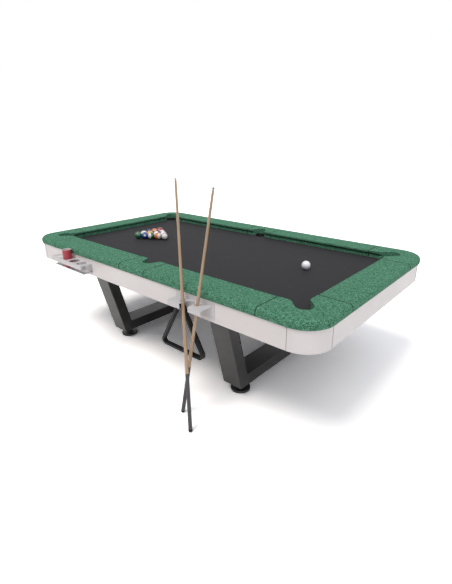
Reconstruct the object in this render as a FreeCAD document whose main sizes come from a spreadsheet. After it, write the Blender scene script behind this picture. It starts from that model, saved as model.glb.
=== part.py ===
import FreeCAD, Part
import math
import os
import re
import Sketcher

# Outdoor billiard table, millimetres, +Z up. Lengths of the table run along X.
# Every size stands once in SIZES, which becomes the spreadsheet of the document.
SIZES = (
    ("field_length", 2240, "cushion nose to cushion nose along X"),
    ("field_width", 1120, "cushion nose to cushion nose along Y"),
    ("bed_height", 750, "floor to the playing surface"),
    ("slab_thickness", 25, "playing slab"),
    ("rail_width", 190, "cushion nose to the outer edge of the rail"),
    ("rail_height", 48, "top of the rail above the playing surface"),
    ("rail_corner_radius", 160, "rounded corner of the rail in plan"),
    ("rail_edge_radius", 25, "rounding of the outer top edge"),
    ("rail_bottom_radius", 8, "rounding of the outer bottom edge"),
    ("nose_radius", 5, "rounding of the nose's top edge"),
    ("nose_bottom", 36, "lower edge of the nose above the playing surface"),
    ("undercut_depth", 22, "deepest point of the groove under the nose"),
    ("undercut_height", 24, "deepest point of the groove above the playing surface"),
    ("strip_depth", 10, "face of the strip under the groove, behind the nose"),
    ("strip_height", 15, "top of the strip above the playing surface"),
    ("seam_gap", 1, "open joint between two pieces of rail"),
    ("middle_rail_length", 248, "rail piece round a middle pocket"),
    ("corner_leg", 335, "leg of a corner piece along each side"),
    ("corner_pocket_inset", 171, "pocket centre inside both outer edges of the corner"),
    ("corner_pocket_radius", 48, "corner pocket and half its mouth"),
    ("corner_jaw_radius", 20, "rounded jaw of a corner pocket"),
    ("middle_pocket_inset", 38, "pocket centre behind the nose line"),
    ("middle_pocket_radius", 46, "middle pocket"),
    ("middle_mouth_half", 64, "half the mouth of a middle pocket at the nose"),
    ("middle_jaw_radius", 15, "rounded jaw of a middle pocket"),
    ("cup_clearance", 0.3, "pocket cup inside its hole"),
    ("cup_wall", 2.5, "wall of a pocket cup"),
    ("cup_depth", 108, "pocket cup below the playing surface"),
    ("cup_lip", 9, "back of the pocket cup above the playing surface"),
    ("cup_slit_width", 5, "slit in the back of a pocket cup"),
    ("cup_slit_depth", 26, "slit below the playing surface"),
    ("apron_inset", 8, "apron's face behind the edge of the rail"),
    ("apron_height", 120, "height of the apron"),
    ("apron_sheet", 3, "folded sheet of the apron"),
    ("apron_flange", 22, "inward fold along the apron's lower edge"),
    ("apron_seam", 1.5, "open joint between two apron panels"),
    ("apron_notch_width", 7, "notch at the top of an apron seam"),
    ("apron_notch_height", 5, "height of that notch"),
    ("slab_clearance", 0.5, "slab's edge inside the apron"),
    ("bracket_width", 40, "apron bracket"),
    ("bracket_leg", 32, "leg of an apron bracket"),
    ("bracket_sheet", 3, "sheet of an apron bracket"),
    ("bracket_first_x", 230, "first bracket from the middle along the long sides"),
    ("bracket_pitch_x", 375, "bracket to bracket along the long sides"),
    ("bracket_offset_y", 280, "bracket from the middle along the short sides"),
    ("leg_frame_x", 606, "middle of a leg frame from the table's middle"),
    ("leg_width", 150, "width of a leg frame along X"),
    ("beam_bottom", 66, "underside of a leg beam"),
    ("beam_height", 80, "height of a leg beam"),
    ("post_flare", 0.2465, "outward run of a post for each unit of height"),
    ("post_depth", 82.4, "depth of a post measured level"),
    ("post_inset", 27.2, "top of a post inside the end of its cross member"),
    ("leg_edge_radius", 4, "rounded edges of the leg frame"),
    ("leg_wall", 6, "plate of posts and beams"),
    ("post_base", 12, "plate in the foot of a post"),
    ("bed_frame_height", 35, "members under the slab"),
    ("cross_member_gap", 70.5, "end of a cross member inside the slab's edge"),
    ("stringer_y", 380, "stringers from the middle"),
    ("stringer_width", 50, "width of stringers and end members"),
    ("end_frame_gap", 168.5, "end member inside the slab's edge"),
    ("foot_inset", 83, "foot inside the lower end of its beam"),
    ("foot_radius", 65, "foot pad"),
    ("foot_pad_height", 18, "foot pad"),
    ("foot_pad_round", 4, "rounded upper rim of the foot pad"),
    ("foot_hub_radius", 30, "hub on the pad"),
    ("foot_hub_height", 14, "hub on the pad"),
    ("foot_stem_radius", 10, "threaded stem"),
    ("foot_nut_radius", 21, "lock nut across its corners"),
    ("foot_nut_height", 12, "lock nut"),
    ("foot_stem_engaged", 50, "stem inside the beam"),
    ("running_clearance", 0.3, "gap between pieces that move on each other"),
    ("leg_bolt_inset", 44.7, "bolt from beam to post, inside the post's outer face"),
    ("slab_bolt_first_y", 170, "first bolt from cross member to slab"),
    ("slab_bolt_pitch_y", 330, "bolt to bolt"),
    ("bolt_radius", 5, "shank of a bolt"),
    ("bolt_head_radius", 9, "head across its corners"),
    ("bolt_head_height", 7, "head of a bolt"),
    ("bolt_clearance", 0.5, "bolt in its hole"),
    ("slab_bolt_grip", 15, "bolt inside the slab"),
    ("leg_bolt_grip", 16, "bolt inside the post"),
    ("shelf_drop", 30, "top of the cue rest and of the cup shelf below the playing surface"),
    ("shelf_sheet", 3, "folded sheet of both"),
    ("shelf_depth", 86, "reach of both from the apron"),
    ("shelf_lip", 30, "front lip of both"),
    ("tray_drop", 62, "top of the cup shelf's tray below the shelf's top"),
    ("tray_depth", 69, "reach of that tray from the apron"),
    ("cue_rest_x", 561, "middle of the cue rest"),
    ("cue_rest_length", 254, "cue rest along X"),
    ("rest_plate_length", 296, "back plate of the cue rest along X"),
    ("rest_plate_rise", 20, "top of that plate above the cue rest's top"),
    ("rest_plate_drop", 68, "bottom of that plate below the cue rest's top"),
    ("rest_notch_half", 33, "half width of the open notch"),
    ("rest_notch_end", 10, "inner end of the notch from the apron"),
    ("cue_hole_radius", 15, "hole for a cue"),
    ("cup_shelf_x", -677, "middle of the cup shelf"),
    ("cup_shelf_length", 414, "cup shelf along X"),
    ("cup_hole_radius", 35, "hole for a cup"),
    ("cup_hole_pitch", 94, "hole to hole"),
    ("cup_hole_y", 41.5, "hole from the apron"),
    ("shelf_screw_radius", 3, "screws of the two shelves"),
    ("shelf_screw_head", 6, "heads of those screws"),
    ("shelf_screw_inset", 30, "screw from the end of its shelf"),
    ("shelf_screw_drop", 13.5, "screw below the top of its shelf"),
    ("shelf_screw_grip", 8, "screw behind the apron's face"),
    ("tumbler_rim_radius", 33, "outer radius at the rim"),
    ("tumbler_base_radius", 29, "outer radius at the base"),
    ("tumbler_height", 130, "height of the tumbler"),
    ("tumbler_wall", 2.4, "wall of the tumbler"),
    ("peg_offset", 92, "rack peg to the left of the cue rest's middle"),
    ("peg_radius", 5, "rack peg"),
    ("peg_drop", 85.3, "peg below the playing surface"),
    ("peg_cap_radius", 8, "cap and foot of the peg"),
    ("peg_cap_height", 3, "cap and foot of the peg"),
    ("rack_gap", 3, "rack behind the peg's cap and in front of the peg's foot"),
    ("rack_wall", 15.5, "wall of the rack"),
    ("rack_depth", 30, "depth of the rack"),
    ("rack_inner_round", 14, "rounded inner corner of the rack"),
    ("rack_edge_radius", 2, "rounded edges of the rack"),
    ("rack_spare", 1, "room round the balls in the rack"),
    ("ball_radius", 28.6, "ball"),
    ("ball_seat", 0.3, "gap under and between balls"),
    ("rack_apex_x", -518, "ball at the tip of the racked triangle"),
    ("rack_apex_y", -38, "the same along Y"),
    ("cue_ball_x", 788, "cue ball"),
    ("cue_ball_y", 28, "cue ball"),
    ("cue_butt_radius", 11.5, "butt end of a cue"),
    ("cue_tip_radius", 6, "tip of a cue"),
    ("cue_sleeve_length", 336, "black sleeve of the butt"),
    ("cue_ferrule_length", 14, "ferrule and tip"),
    ("cue_bumper_round", 4, "rounded end of the butt"),
    ("cue_a_length", 1350, "cue leaning to the right"),
    ("cue_a_butt_right", -64, "its butt on the floor, right of the rest's middle"),
    ("cue_a_butt_out", 73, "its butt on the floor, out from the apron"),
    ("cue_a_pass_right", 60, "its axis at the top of the cue rest, right of the rest's middle"),
    ("cue_a_pass_out", 39, "its axis at the top of the cue rest, out from the apron"),
    ("cue_b_length", 1390, "cue leaning to the left"),
    ("cue_b_butt_right", 96, "its butt on the floor, right of the rest's middle"),
    ("cue_b_butt_out", 163, "its butt on the floor, out from the apron"),
    ("cue_b_pass_right", -47, "its axis at the top of the cue rest, right of the rest's middle"),
    ("cue_b_pass_out", 45, "its axis at the top of the cue rest, out from the apron"),
    ("overrun", 20, "cutters past the faces that they cut"),
)

doc = FreeCAD.newDocument("outdoor_billiard_table")
sheet = doc.addObject("Spreadsheet::Sheet", "Sizes")


def fill_sheet():
    """Write each size, its alias and what it measures."""
    rows = SIZES + (("origin_shift", 0, "table's middle behind the origin, worked out below"),)
    for row, (alias, number, meaning) in enumerate(rows, start=1):
        sheet.set(f"A{row}", alias)
        sheet.set(f"B{row}", str(number))
        sheet.set(f"C{row}", meaning)
        sheet.setAlias(f"B{row}", alias)
    doc.recompute()
    return {alias for alias, number, meaning in rows}


ALIASES = fill_sheet()
parts = []
places_y = {}


def full(expression):
    """The expression with each alias named in the spreadsheet."""
    def named(word):
        return f"Sizes.{word.group()}" if word.group() in ALIASES else word.group()
    return re.sub(r"[a-z][a-z_]*", named, expression)


def value(expression):
    return float(sheet.evalExpression(full(expression)))


def bind(thing, **expressions):
    """Bind properties to expressions: a double underscore stands for a dot."""
    for name, expression in expressions.items():
        thing.setExpression(name.replace("__", "."), full(expression))


def place(thing, x="0", y="0", z="0"):
    """Put a piece where the table's middle on the floor is the origin."""
    bind(thing, Placement__Base__x=x, Placement__Base__y=y, Placement__Base__z=z)
    places_y[thing.Name] = y


def turn(thing, degrees, axis=(0, 0, 1)):
    thing.Placement.Rotation = FreeCAD.Rotation(FreeCAD.Vector(*axis), degrees)


def part(thing, label):
    """Keep a document object as one sub-part under its label."""
    thing.Label = label
    parts.append(thing)
    return thing


def body(label):
    return part(doc.addObject("PartDesign::Body", label), label)


def add_outline(sketch, corners):
    """A closed outline whose corners are bound to the sheet."""
    first = sketch.GeometryCount
    count = len(corners)
    points = [FreeCAD.Vector(value(x), value(y), 0) for x, y in corners]
    for index, point in enumerate(points):
        sketch.addGeometry(Part.LineSegment(point, points[(index + 1) % count]))
    for index, (x, y) in enumerate(corners):
        line = first + index
        before = first + (index - 1) % count
        sketch.addConstraint(Sketcher.Constraint("Coincident", before, 2, line, 1))
        for kind, where in (("DistanceX", x), ("DistanceY", y)):
            number = sketch.addConstraint(Sketcher.Constraint(kind, -1, 1, line, 1, value(where)))
            sketch.setExpression(f"Constraints[{number}]", full(where))


def add_circle(sketch, x, y, radius):
    """A circle whose centre and radius are bound to the sheet."""
    centre = FreeCAD.Vector(value(x), value(y), 0)
    circle = sketch.addGeometry(Part.Circle(centre, FreeCAD.Vector(0, 0, 1), value(radius)))
    for kind, where in (("DistanceX", x), ("DistanceY", y)):
        number = sketch.addConstraint(Sketcher.Constraint(kind, -1, 1, circle, 3, value(where)))
        sketch.setExpression(f"Constraints[{number}]", full(where))
    number = sketch.addConstraint(Sketcher.Constraint("Radius", circle, value(radius)))
    sketch.setExpression(f"Constraints[{number}]", full(radius))


def sketch_on(owner, plane, outlines=(), circles=(), middle="0"):
    """A sketch on one of the body's own planes, moved along that plane's normal."""
    sketch = owner.newObject("Sketcher::SketchObject", "outline")
    role = f"{plane}_Plane"
    support = next(feature for feature in owner.Origin.OriginFeatures if feature.Role == role)
    sketch.AttachmentSupport = (support, [""])
    sketch.MapMode = "FlatFace"
    bind(sketch, AttachmentOffset__Base__z=middle)
    for corners in outlines:
        add_outline(sketch, corners)
    for circle in circles:
        add_circle(sketch, *circle)
    return sketch


def extrude(owner, kind, plane, length, outlines=(), circles=(), middle="0"):
    """A Pad or Pocket that reaches half its length to both sides of its sketch."""
    before = owner.Shape.Volume if owner.Tip else 0
    feature = owner.newObject(f"PartDesign::{kind}", kind)
    feature.Profile = sketch_on(owner, plane, outlines, circles, middle)
    feature.SideType = "Symmetric"
    bind(feature, Length=length)
    doc.recompute()
    grown = owner.Shape.Volume > before
    if grown != (kind == "Pad"):
        raise ValueError(f"{kind} of {owner.Label} does nothing")
    return feature


def revolve(owner, kind, outline, angle=360):
    """A Revolution or Groove about the body's Z axis, even to both sides of its sketch."""
    feature = owner.newObject(f"PartDesign::{kind}", kind)
    sketch = sketch_on(owner, "XZ", [outline])
    feature.Profile = sketch
    feature.ReferenceAxis = (sketch, ["V_Axis"])
    feature.Midplane = True
    feature.Angle = angle
    doc.recompute()
    return feature


def round_edges(owner, radius, chosen):
    """Fillet the edges of the body's last feature that pass the test."""
    tip = owner.Tip
    names = [f"Edge{number}" for number, edge in enumerate(tip.Shape.Edges, 1) if chosen(edge)]
    if not names:
        raise ValueError(f"no edge to round on {owner.Label}")
    fillet = owner.newObject("PartDesign::Fillet", "Fillet")
    fillet.Base = (tip, names)
    bind(fillet, Radius=radius)
    doc.recompute()
    return fillet


def near(one, other):
    return abs(one - other) < 1e-4


def level_at(edge, height):
    """True for an edge that lies level at the height."""
    return near(edge.BoundBox.ZMin, height) and near(edge.BoundBox.ZMax, height)


def upright_at(edge, x, y):
    """True for an upright edge over the point."""
    box = edge.BoundBox
    return near(box.XMin, x) and near(box.XMax, x) and near(box.YMin, y) and near(box.YMax, y)


def along(edge, axis):
    """True for a straight edge that runs along the axis."""
    box = edge.BoundBox
    spans = {"x": box.XLength, "y": box.YLength, "z": box.ZLength}
    return spans.pop(axis) > 1e-4 and all(near(span, 0) for span in spans.values())


def rectangle(left, right, low, high):
    return [(left, low), (right, low), (right, high), (left, high)]


HALF_X = "(field_length / 2 + rail_width)"
HALF_Y = "(field_width / 2 + rail_width)"
APRON_X = f"({HALF_X} - apron_inset)"
APRON_Y = f"({HALF_Y} - apron_inset)"
APRON_RADIUS = "(rail_corner_radius - apron_inset)"
SLAB_X = f"({APRON_X} - apron_sheet - slab_clearance)"
SLAB_Y = f"({APRON_Y} - apron_sheet - slab_clearance)"
SLAB_RADIUS = "(rail_corner_radius - apron_inset - apron_sheet - slab_clearance)"
SLAB_BOTTOM = "(bed_height - slab_thickness)"
FRAME_BOTTOM = f"({SLAB_BOTTOM} - bed_frame_height)"
CROSS_MEMBER_HALF = f"({SLAB_Y} - cross_member_gap)"
END_FRAME_REACH = f"({SLAB_X} - end_frame_gap)"
# The outer faces of the leg frame lean inwards from the cross member down to the beam.
BEAM_HALF = f"({CROSS_MEMBER_HALF} - post_inset - post_flare * ({FRAME_BOTTOM} - beam_bottom))"
BEAM_REACH = f"({BEAM_HALF} + post_flare * beam_height)"
FOOT_Y = f"({BEAM_HALF} - foot_inset)"
SHELF_TOP = "(bed_height - shelf_drop)"
PEG_X = "(cue_rest_x - peg_offset)"
PEG_Z = "(bed_height - peg_drop)"
CORNER_POCKET_X = f"({HALF_X} - corner_pocket_inset)"
CORNER_POCKET_Y = f"({HALF_Y} - corner_pocket_inset)"
MIDDLE_POCKET_Y = "(field_width / 2 + middle_pocket_inset)"
FRONT = f"(-1 * {APRON_Y})"
SHELVES = (("cue_rest_length", "cue_rest_x"), ("cup_shelf_length", "cup_shelf_x"))
SIDES = (("far", 0), ("near", 180))
QUARTERS = (("far_right", 1, 1, 0), ("far_left", -1, 1, 90), ("near_left", -1, -1, 180),
            ("near_right", 1, -1, 270))
UNDERCUT = [
    ("-1 * overrun", "-1 * overrun"), ("strip_depth", "-1 * overrun"),
    ("strip_depth", "strip_height"), ("undercut_depth", "undercut_height"),
    ("0", "nose_bottom"), ("-1 * overrun", "nose_bottom"),
]


def slab_holes():
    """Blind holes for the slab bolts, as circles."""
    rows = ("slab_bolt_first_y", "slab_bolt_first_y + slab_bolt_pitch_y")
    for side in ("", "-1 * "):
        for mirror in ("", "-1 * "):
            for row in rows:
                yield f"{side}leg_frame_x", f"{mirror}({row})", "bolt_radius + bolt_clearance"


def bed_slab():
    slab = body("bed_slab")
    outline = rectangle(f"-1 * {SLAB_X}", SLAB_X, f"-1 * {SLAB_Y}", SLAB_Y)
    extrude(slab, "Pad", "XY", "slab_thickness", [outline], middle="-1 * slab_thickness / 2")
    round_edges(slab, SLAB_RADIUS, lambda edge: along(edge, "z"))
    holes = [(f"{x} * {CORNER_POCKET_X}", f"{y} * {CORNER_POCKET_Y}", "corner_pocket_radius")
             for name, x, y, angle in QUARTERS]
    holes += [("0", f"{y} * {MIDDLE_POCKET_Y}", "middle_pocket_radius") for y in (1, -1)]
    extrude(slab, "Pocket", "XY", "slab_thickness * 3", circles=holes)
    extrude(slab, "Pocket", "XY", "slab_bolt_grip * 2", circles=slab_holes(),
            middle="-1 * slab_thickness")
    place(slab, z="bed_height")


def finish_rail(rail):
    """Round the long edges of a straight piece: nose, outer top and outer bottom."""
    outer = value("rail_width")
    top = value("rail_height")
    round_edges(rail, "rail_edge_radius",
                lambda edge: along(edge, "x") and near(edge.BoundBox.YMax, outer)
                and level_at(edge, top))
    round_edges(rail, "rail_bottom_radius",
                lambda edge: along(edge, "x") and near(edge.BoundBox.YMax, outer)
                and level_at(edge, 0))


def rail_straight(label, length, angle):
    """A straight rail: its own X runs along the rail and its own Y outwards from the nose."""
    rail = body(label)
    half = f"({length}) / 2 - seam_gap / 2"
    outline = rectangle(f"-1 * ({half})", half, "0", "rail_width")
    extrude(rail, "Pad", "XY", "rail_height", [outline], middle="rail_height / 2")
    finish_rail(rail)
    round_edges(rail, "nose_radius", lambda edge: along(edge, "x")
                and near(edge.BoundBox.YMax, 0) and level_at(edge, value("rail_height")))
    extrude(rail, "Pocket", "YZ", f"{length} + overrun", [UNDERCUT])
    turn(rail, angle)
    return rail


def straight_rails():
    half_long = f"({HALF_X} - corner_leg - middle_rail_length / 2)"
    centre = f"(middle_rail_length / 2 + {half_long} / 2)"
    for side, angle in SIDES:
        y = f"{1 if angle == 0 else -1} * field_width / 2"
        for end, sign in (("left", -1), ("right", 1)):
            rail = rail_straight(f"rail_{side}_{end}", half_long, angle)
            place(rail, f"{sign} * {centre}", y, "bed_height")
    for end, sign, angle in (("left", -1, 90), ("right", 1, -90)):
        rail = rail_straight(f"rail_end_{end}", f"2 * ({HALF_Y} - corner_leg)", angle)
        place(rail, f"{sign} * field_length / 2", "0", "bed_height")


def middle_rails():
    """The rail round each middle pocket, cut by a mouth whose cheeks touch the pocket."""
    mouth = value("middle_mouth_half")
    inset = "middle_pocket_inset"
    # Seen from the pocket's centre, the cheek touches the circle at this angle from own X.
    touch = f"(acos(middle_pocket_radius / sqrt({inset} ^ 2 + middle_mouth_half ^ 2))"
    touch += f" - atan({inset} / middle_mouth_half))"
    touch_x = f"middle_pocket_radius * cos({touch})"
    touch_y = f"{inset} + middle_pocket_radius * sin({touch})"
    cheek = [("-1 * middle_mouth_half", "0"), ("-1 * middle_mouth_half", "-1 * overrun"),
             ("middle_mouth_half", "-1 * overrun"), ("middle_mouth_half", "0"),
             (touch_x, touch_y), (f"-1 * {touch_x}", touch_y)]
    for side, angle in SIDES:
        rail = body(f"rail_{side}_middle")
        half = "middle_rail_length / 2 - seam_gap / 2"
        outline = rectangle(f"-1 * ({half})", half, "0", "rail_width")
        extrude(rail, "Pad", "XY", "rail_height", [outline], middle="rail_height / 2")
        extrude(rail, "Pocket", "XY", "rail_height * 3", [cheek])
        extrude(rail, "Pocket", "XY", "rail_height * 3",
                circles=[("0", inset, "middle_pocket_radius")])
        round_edges(rail, "middle_jaw_radius", lambda edge: upright_at(edge, mouth, 0)
                    or upright_at(edge, -mouth, 0))
        finish_rail(rail)
        extrude(rail, "Pocket", "YZ", "middle_rail_length + overrun", [UNDERCUT])
        turn(rail, angle)
        place(rail, "0", f"{1 if angle == 0 else -1} * field_width / 2", "bed_height")


def corner_rails():
    """Four equal corner pieces. Their own origin is the outer corner, both legs run backwards."""
    leg = "-1 * corner_leg + seam_gap / 2"
    nose = "-1 * rail_width"
    ell = [(leg, nose), (nose, nose), (nose, leg), ("0", leg), ("0", "0"), (leg, "0")]
    slant = "corner_pocket_radius / sqrt(2)"
    centre = "-1 * corner_pocket_inset"
    far = f"{centre} - corner_leg"
    mouth = [(f"{centre} - {slant}", f"{centre} + {slant}"),
             (f"{far} - {slant}", f"{far} + {slant}"),
             (f"{far} + {slant}", f"{far} - {slant}"),
             (f"{centre} + {slant}", f"{centre} - {slant}")]
    top = value("rail_height")
    jaw_at = value("-1 * rail_width - sqrt(2) * corner_pocket_radius")
    nose_at = value(nose)
    groove = [(f"{y} - rail_width", z) for y, z in UNDERCUT]
    for name, sign_x, sign_y, angle in QUARTERS:
        rail = body(f"rail_corner_{name}")
        extrude(rail, "Pad", "XY", "rail_height", [ell], middle="rail_height / 2")
        round_edges(rail, "rail_corner_radius", lambda edge: upright_at(edge, 0, 0))
        extrude(rail, "Pocket", "XY", "rail_height * 3", [mouth])
        extrude(rail, "Pocket", "XY", "rail_height * 3",
                circles=[(centre, centre, "corner_pocket_radius")])
        round_edges(rail, "corner_jaw_radius", lambda edge: upright_at(edge, jaw_at, nose_at)
                    or upright_at(edge, nose_at, jaw_at))
        round_edges(rail, "rail_edge_radius", lambda edge: level_at(edge, top)
                    and on_outside(edge))
        round_edges(rail, "rail_bottom_radius", lambda edge: level_at(edge, 0)
                    and on_outside(edge))
        run = "corner_leg - rail_width"
        middle = f"-1 * rail_width - ({run}) / 2"
        extrude(rail, "Pocket", "YZ", run, [groove], middle=middle)
        extrude(rail, "Pocket", "XZ", run, [groove], middle=f"-1 * ({middle})")
        turn(rail, angle)
        place(rail, f"{sign_x} * {HALF_X}", f"{sign_y} * {HALF_Y}", "bed_height")


def on_outside(edge):
    """True for the three edges of a corner piece's outer side."""
    box = edge.BoundBox
    radius = value("rail_corner_radius")
    straight = near(box.YMin, 0) and near(box.YMax, 0) or near(box.XMin, 0) and near(box.XMax, 0)
    bend = near(box.XLength, radius) and near(box.YLength, radius) and near(box.XMax, 0)
    return straight or bend


def pocket_cup(label, x, y, radius, angle):
    """A cup in the slab's hole, with a low lip at the back and a slit in it.

    Its own X points away from the mouth and its own origin is at the playing surface."""
    cup = body(label)
    outer = f"({radius} - cup_clearance)"
    inner = f"({outer} - cup_wall)"
    wall = [("0", "-1 * cup_depth"), (outer, "-1 * cup_depth"), (outer, "cup_lip"),
            (inner, "cup_lip"), (inner, "cup_wall - cup_depth"), ("0", "cup_wall - cup_depth")]
    revolve(cup, "Revolution", wall)
    front = rectangle("-1 * overrun * 5", "0", "-1 * overrun * 5", "overrun * 5")
    extrude(cup, "Pocket", "XY", "cup_lip * 2", [front], middle="cup_lip")
    slit = rectangle("-1 * cup_slit_width / 2", "cup_slit_width / 2",
                     "-1 * cup_slit_depth", "cup_lip + overrun")
    extrude(cup, "Pocket", "YZ", radius, [slit], middle=radius)
    turn(cup, angle)
    place(cup, x, y, "bed_height")


def pocket_cups():
    for name, sign_x, sign_y, angle in QUARTERS:
        pocket_cup(f"pocket_cup_{name}", f"{sign_x} * {CORNER_POCKET_X}",
                   f"{sign_y} * {CORNER_POCKET_Y}", "corner_pocket_radius", angle + 45)
    for name, sign, angle in (("far_middle", 1, 90), ("near_middle", -1, 270)):
        pocket_cup(f"pocket_cup_{name}", "0", f"{sign} * {MIDDLE_POCKET_Y}",
                   "middle_pocket_radius", angle)


def apron_profile(face):
    """The folded sheet in section: an upright with a fold inwards at its foot."""
    return [(face, "0"), (face, "apron_height"), (f"{face} - apron_sheet", "apron_height"),
            (f"{face} - apron_sheet", "apron_sheet"), (f"{face} - apron_flange", "apron_sheet"),
            (f"{face} - apron_flange", "0")]


def apron_straight(label, half, x, y, angle):
    """A straight panel: its own X runs along it and its own Y points outwards."""
    panel = body(label)
    length = f"(2 * {half} - 2 * apron_seam)"
    extrude(panel, "Pad", "YZ", length, [apron_profile("0")])
    ends = []
    for sign in ("-1 * ", ""):
        tip = f"{sign}({length} / 2)"
        ends.append(rectangle(f"{tip} - apron_notch_width", f"{tip} + apron_notch_width",
                              "apron_height - apron_notch_height", "apron_height + overrun"))
    extrude(panel, "Pocket", "XZ", "apron_sheet * 4", ends)
    if label == "apron_near":
        spots = [f"-1 * ({x_shelf} + {spot})" for shelf, x_shelf in SHELVES
                 for spot in screw_spots(shelf)]
        screw_holes(panel, spots, f"apron_height - shelf_drop - shelf_screw_drop")
    turn(panel, angle)
    place(panel, x, y, "bed_height - apron_height")


def apron_corner(label, sign_x, sign_y, angle):
    """A rounded corner panel, a quarter turn."""
    panel = body(label)
    revolve(panel, "Revolution", apron_profile(APRON_RADIUS), 90)
    turn(panel, angle + 45)
    place(panel, f"{sign_x} * ({HALF_X} - rail_corner_radius)",
          f"{sign_y} * ({HALF_Y} - rail_corner_radius)", "bed_height - apron_height")


def aprons():
    half_long = f"({HALF_X} - rail_corner_radius)"
    half_short = f"({HALF_Y} - rail_corner_radius)"
    for side, angle in SIDES:
        sign = 1 if angle == 0 else -1
        apron_straight(f"apron_{side}", half_long, "0", f"{sign} * {APRON_Y}", angle)
    for end, sign, angle in (("left", -1, 90), ("right", 1, -90)):
        apron_straight(f"apron_{end}", half_short, f"{sign} * {APRON_X}", "0", angle)
    for name, sign_x, sign_y, angle in QUARTERS:
        apron_corner(f"apron_corner_{name}", sign_x, sign_y, angle)


def compound(label, solids):
    """Separate equal solids under one name."""
    group = doc.addObject("Part::Compound", label)
    group.Links = solids
    return part(group, label)


def apron_brackets():
    """Angle brackets between the slab's underside and the apron's inner face."""
    ell = [("0", "0"), ("0", "-1 * bracket_leg"), ("-1 * bracket_sheet", "-1 * bracket_leg"),
           ("-1 * bracket_sheet", "-1 * bracket_sheet"), ("-1 * bracket_leg", "-1 * bracket_sheet"),
           ("-1 * bracket_leg", "0")]
    spots = []
    inner_x = f"({APRON_X} - apron_sheet)"
    inner_y = f"({APRON_Y} - apron_sheet)"
    for sign in (1, -1):
        for column in (-1, 1):
            for step in (0, 1, 2):
                x = f"{column} * (bracket_first_x + {step} * bracket_pitch_x)"
                spots.append((x, f"{sign} * {inner_y}", 0 if sign == 1 else 180))
        for row in (-1, 1):
            spots.append((f"{sign} * {inner_x}", f"{row} * bracket_offset_y", -90 * sign))
    solids = []
    for x, y, angle in spots:
        bracket = doc.addObject("PartDesign::Body", "bracket")
        extrude(bracket, "Pad", "YZ", "bracket_width", [ell])
        turn(bracket, angle)
        place(bracket, x, y, SLAB_BOTTOM)
        solids.append(bracket)
    compound("apron_brackets", solids)


def leg_frames():
    """Two flat U frames: a level beam below and two posts that flare outwards above it."""
    beam_outline = [(f"-1 * {BEAM_HALF}", "0"), (BEAM_HALF, "0"),
                    (BEAM_REACH, "beam_height"), (f"-1 * {BEAM_REACH}", "beam_height")]
    post_height = f"({FRAME_BOTTOM} - beam_bottom - beam_height)"
    run = f"post_flare * {post_height}"
    post_outline = [("0", "0"), (run, post_height), (f"{run} - post_depth", post_height),
                    ("-1 * post_depth", "0")]
    # A post is a tube over its base plate, level walls measured like its depth.
    inner_top = f"({post_height} + overrun)"
    post_hollow = [("post_flare * post_base - leg_wall", "post_base"),
                   (f"post_flare * {inner_top} - leg_wall", inner_top),
                   (f"post_flare * {inner_top} - post_depth + leg_wall", inner_top),
                   ("post_flare * post_base - post_depth + leg_wall", "post_base")]
    # A beam is open underneath between the blocks that hold its feet.
    span = f"({FOOT_Y} - foot_radius)"
    beam_hollow = rectangle(f"-1 * {span}", span, "-1 * overrun", "beam_height - leg_wall")
    hollow_width = "leg_width - 2 * leg_wall"
    stem_hole = "foot_stem_radius + running_clearance"
    bolt_hole = "bolt_radius + bolt_clearance"
    for name, sign in (("left", -1), ("right", 1)):
        beam = body(f"leg_beam_{name}")
        extrude(beam, "Pad", "YZ", "leg_width", [beam_outline])
        round_edges(beam, "leg_edge_radius", lambda edge: edge.BoundBox.XLength < 1e-4
                    and not level_at(edge, value("beam_height")))
        extrude(beam, "Pocket", "YZ", hollow_width, [beam_hollow])
        holes = [("0", f"{side} * {FOOT_Y}", stem_hole) for side in (1, -1)]
        depth = "foot_stem_engaged + foot_nut_height"
        extrude(beam, "Pocket", "XY", f"2 * ({depth})", circles=holes)
        holes = [("0", f"{side} * ({BEAM_REACH} - leg_bolt_inset)", bolt_hole)
                 for side in (1, -1)]
        extrude(beam, "Pocket", "XY", "beam_height * 3", circles=holes)
        place(beam, f"{sign} * leg_frame_x", "0", "beam_bottom")
        for side, angle in SIDES:
            facing = 1 if angle == 0 else -1
            post = body(f"leg_post_{side}_{name}")
            extrude(post, "Pad", "YZ", "leg_width", [post_outline])
            round_edges(post, "leg_edge_radius", lambda edge: edge.BoundBox.XLength < 1e-4
                        and edge.BoundBox.ZLength > 1e-4)
            extrude(post, "Pocket", "YZ", hollow_width, [post_hollow])
            extrude(post, "Pocket", "XY", "3 * post_base",
                    circles=[("0", "-1 * leg_bolt_inset", bolt_hole)])
            turn(post, angle)
            place(post, f"{sign} * leg_frame_x", f"{facing} * {BEAM_REACH}",
                  "beam_bottom + beam_height")


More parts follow.
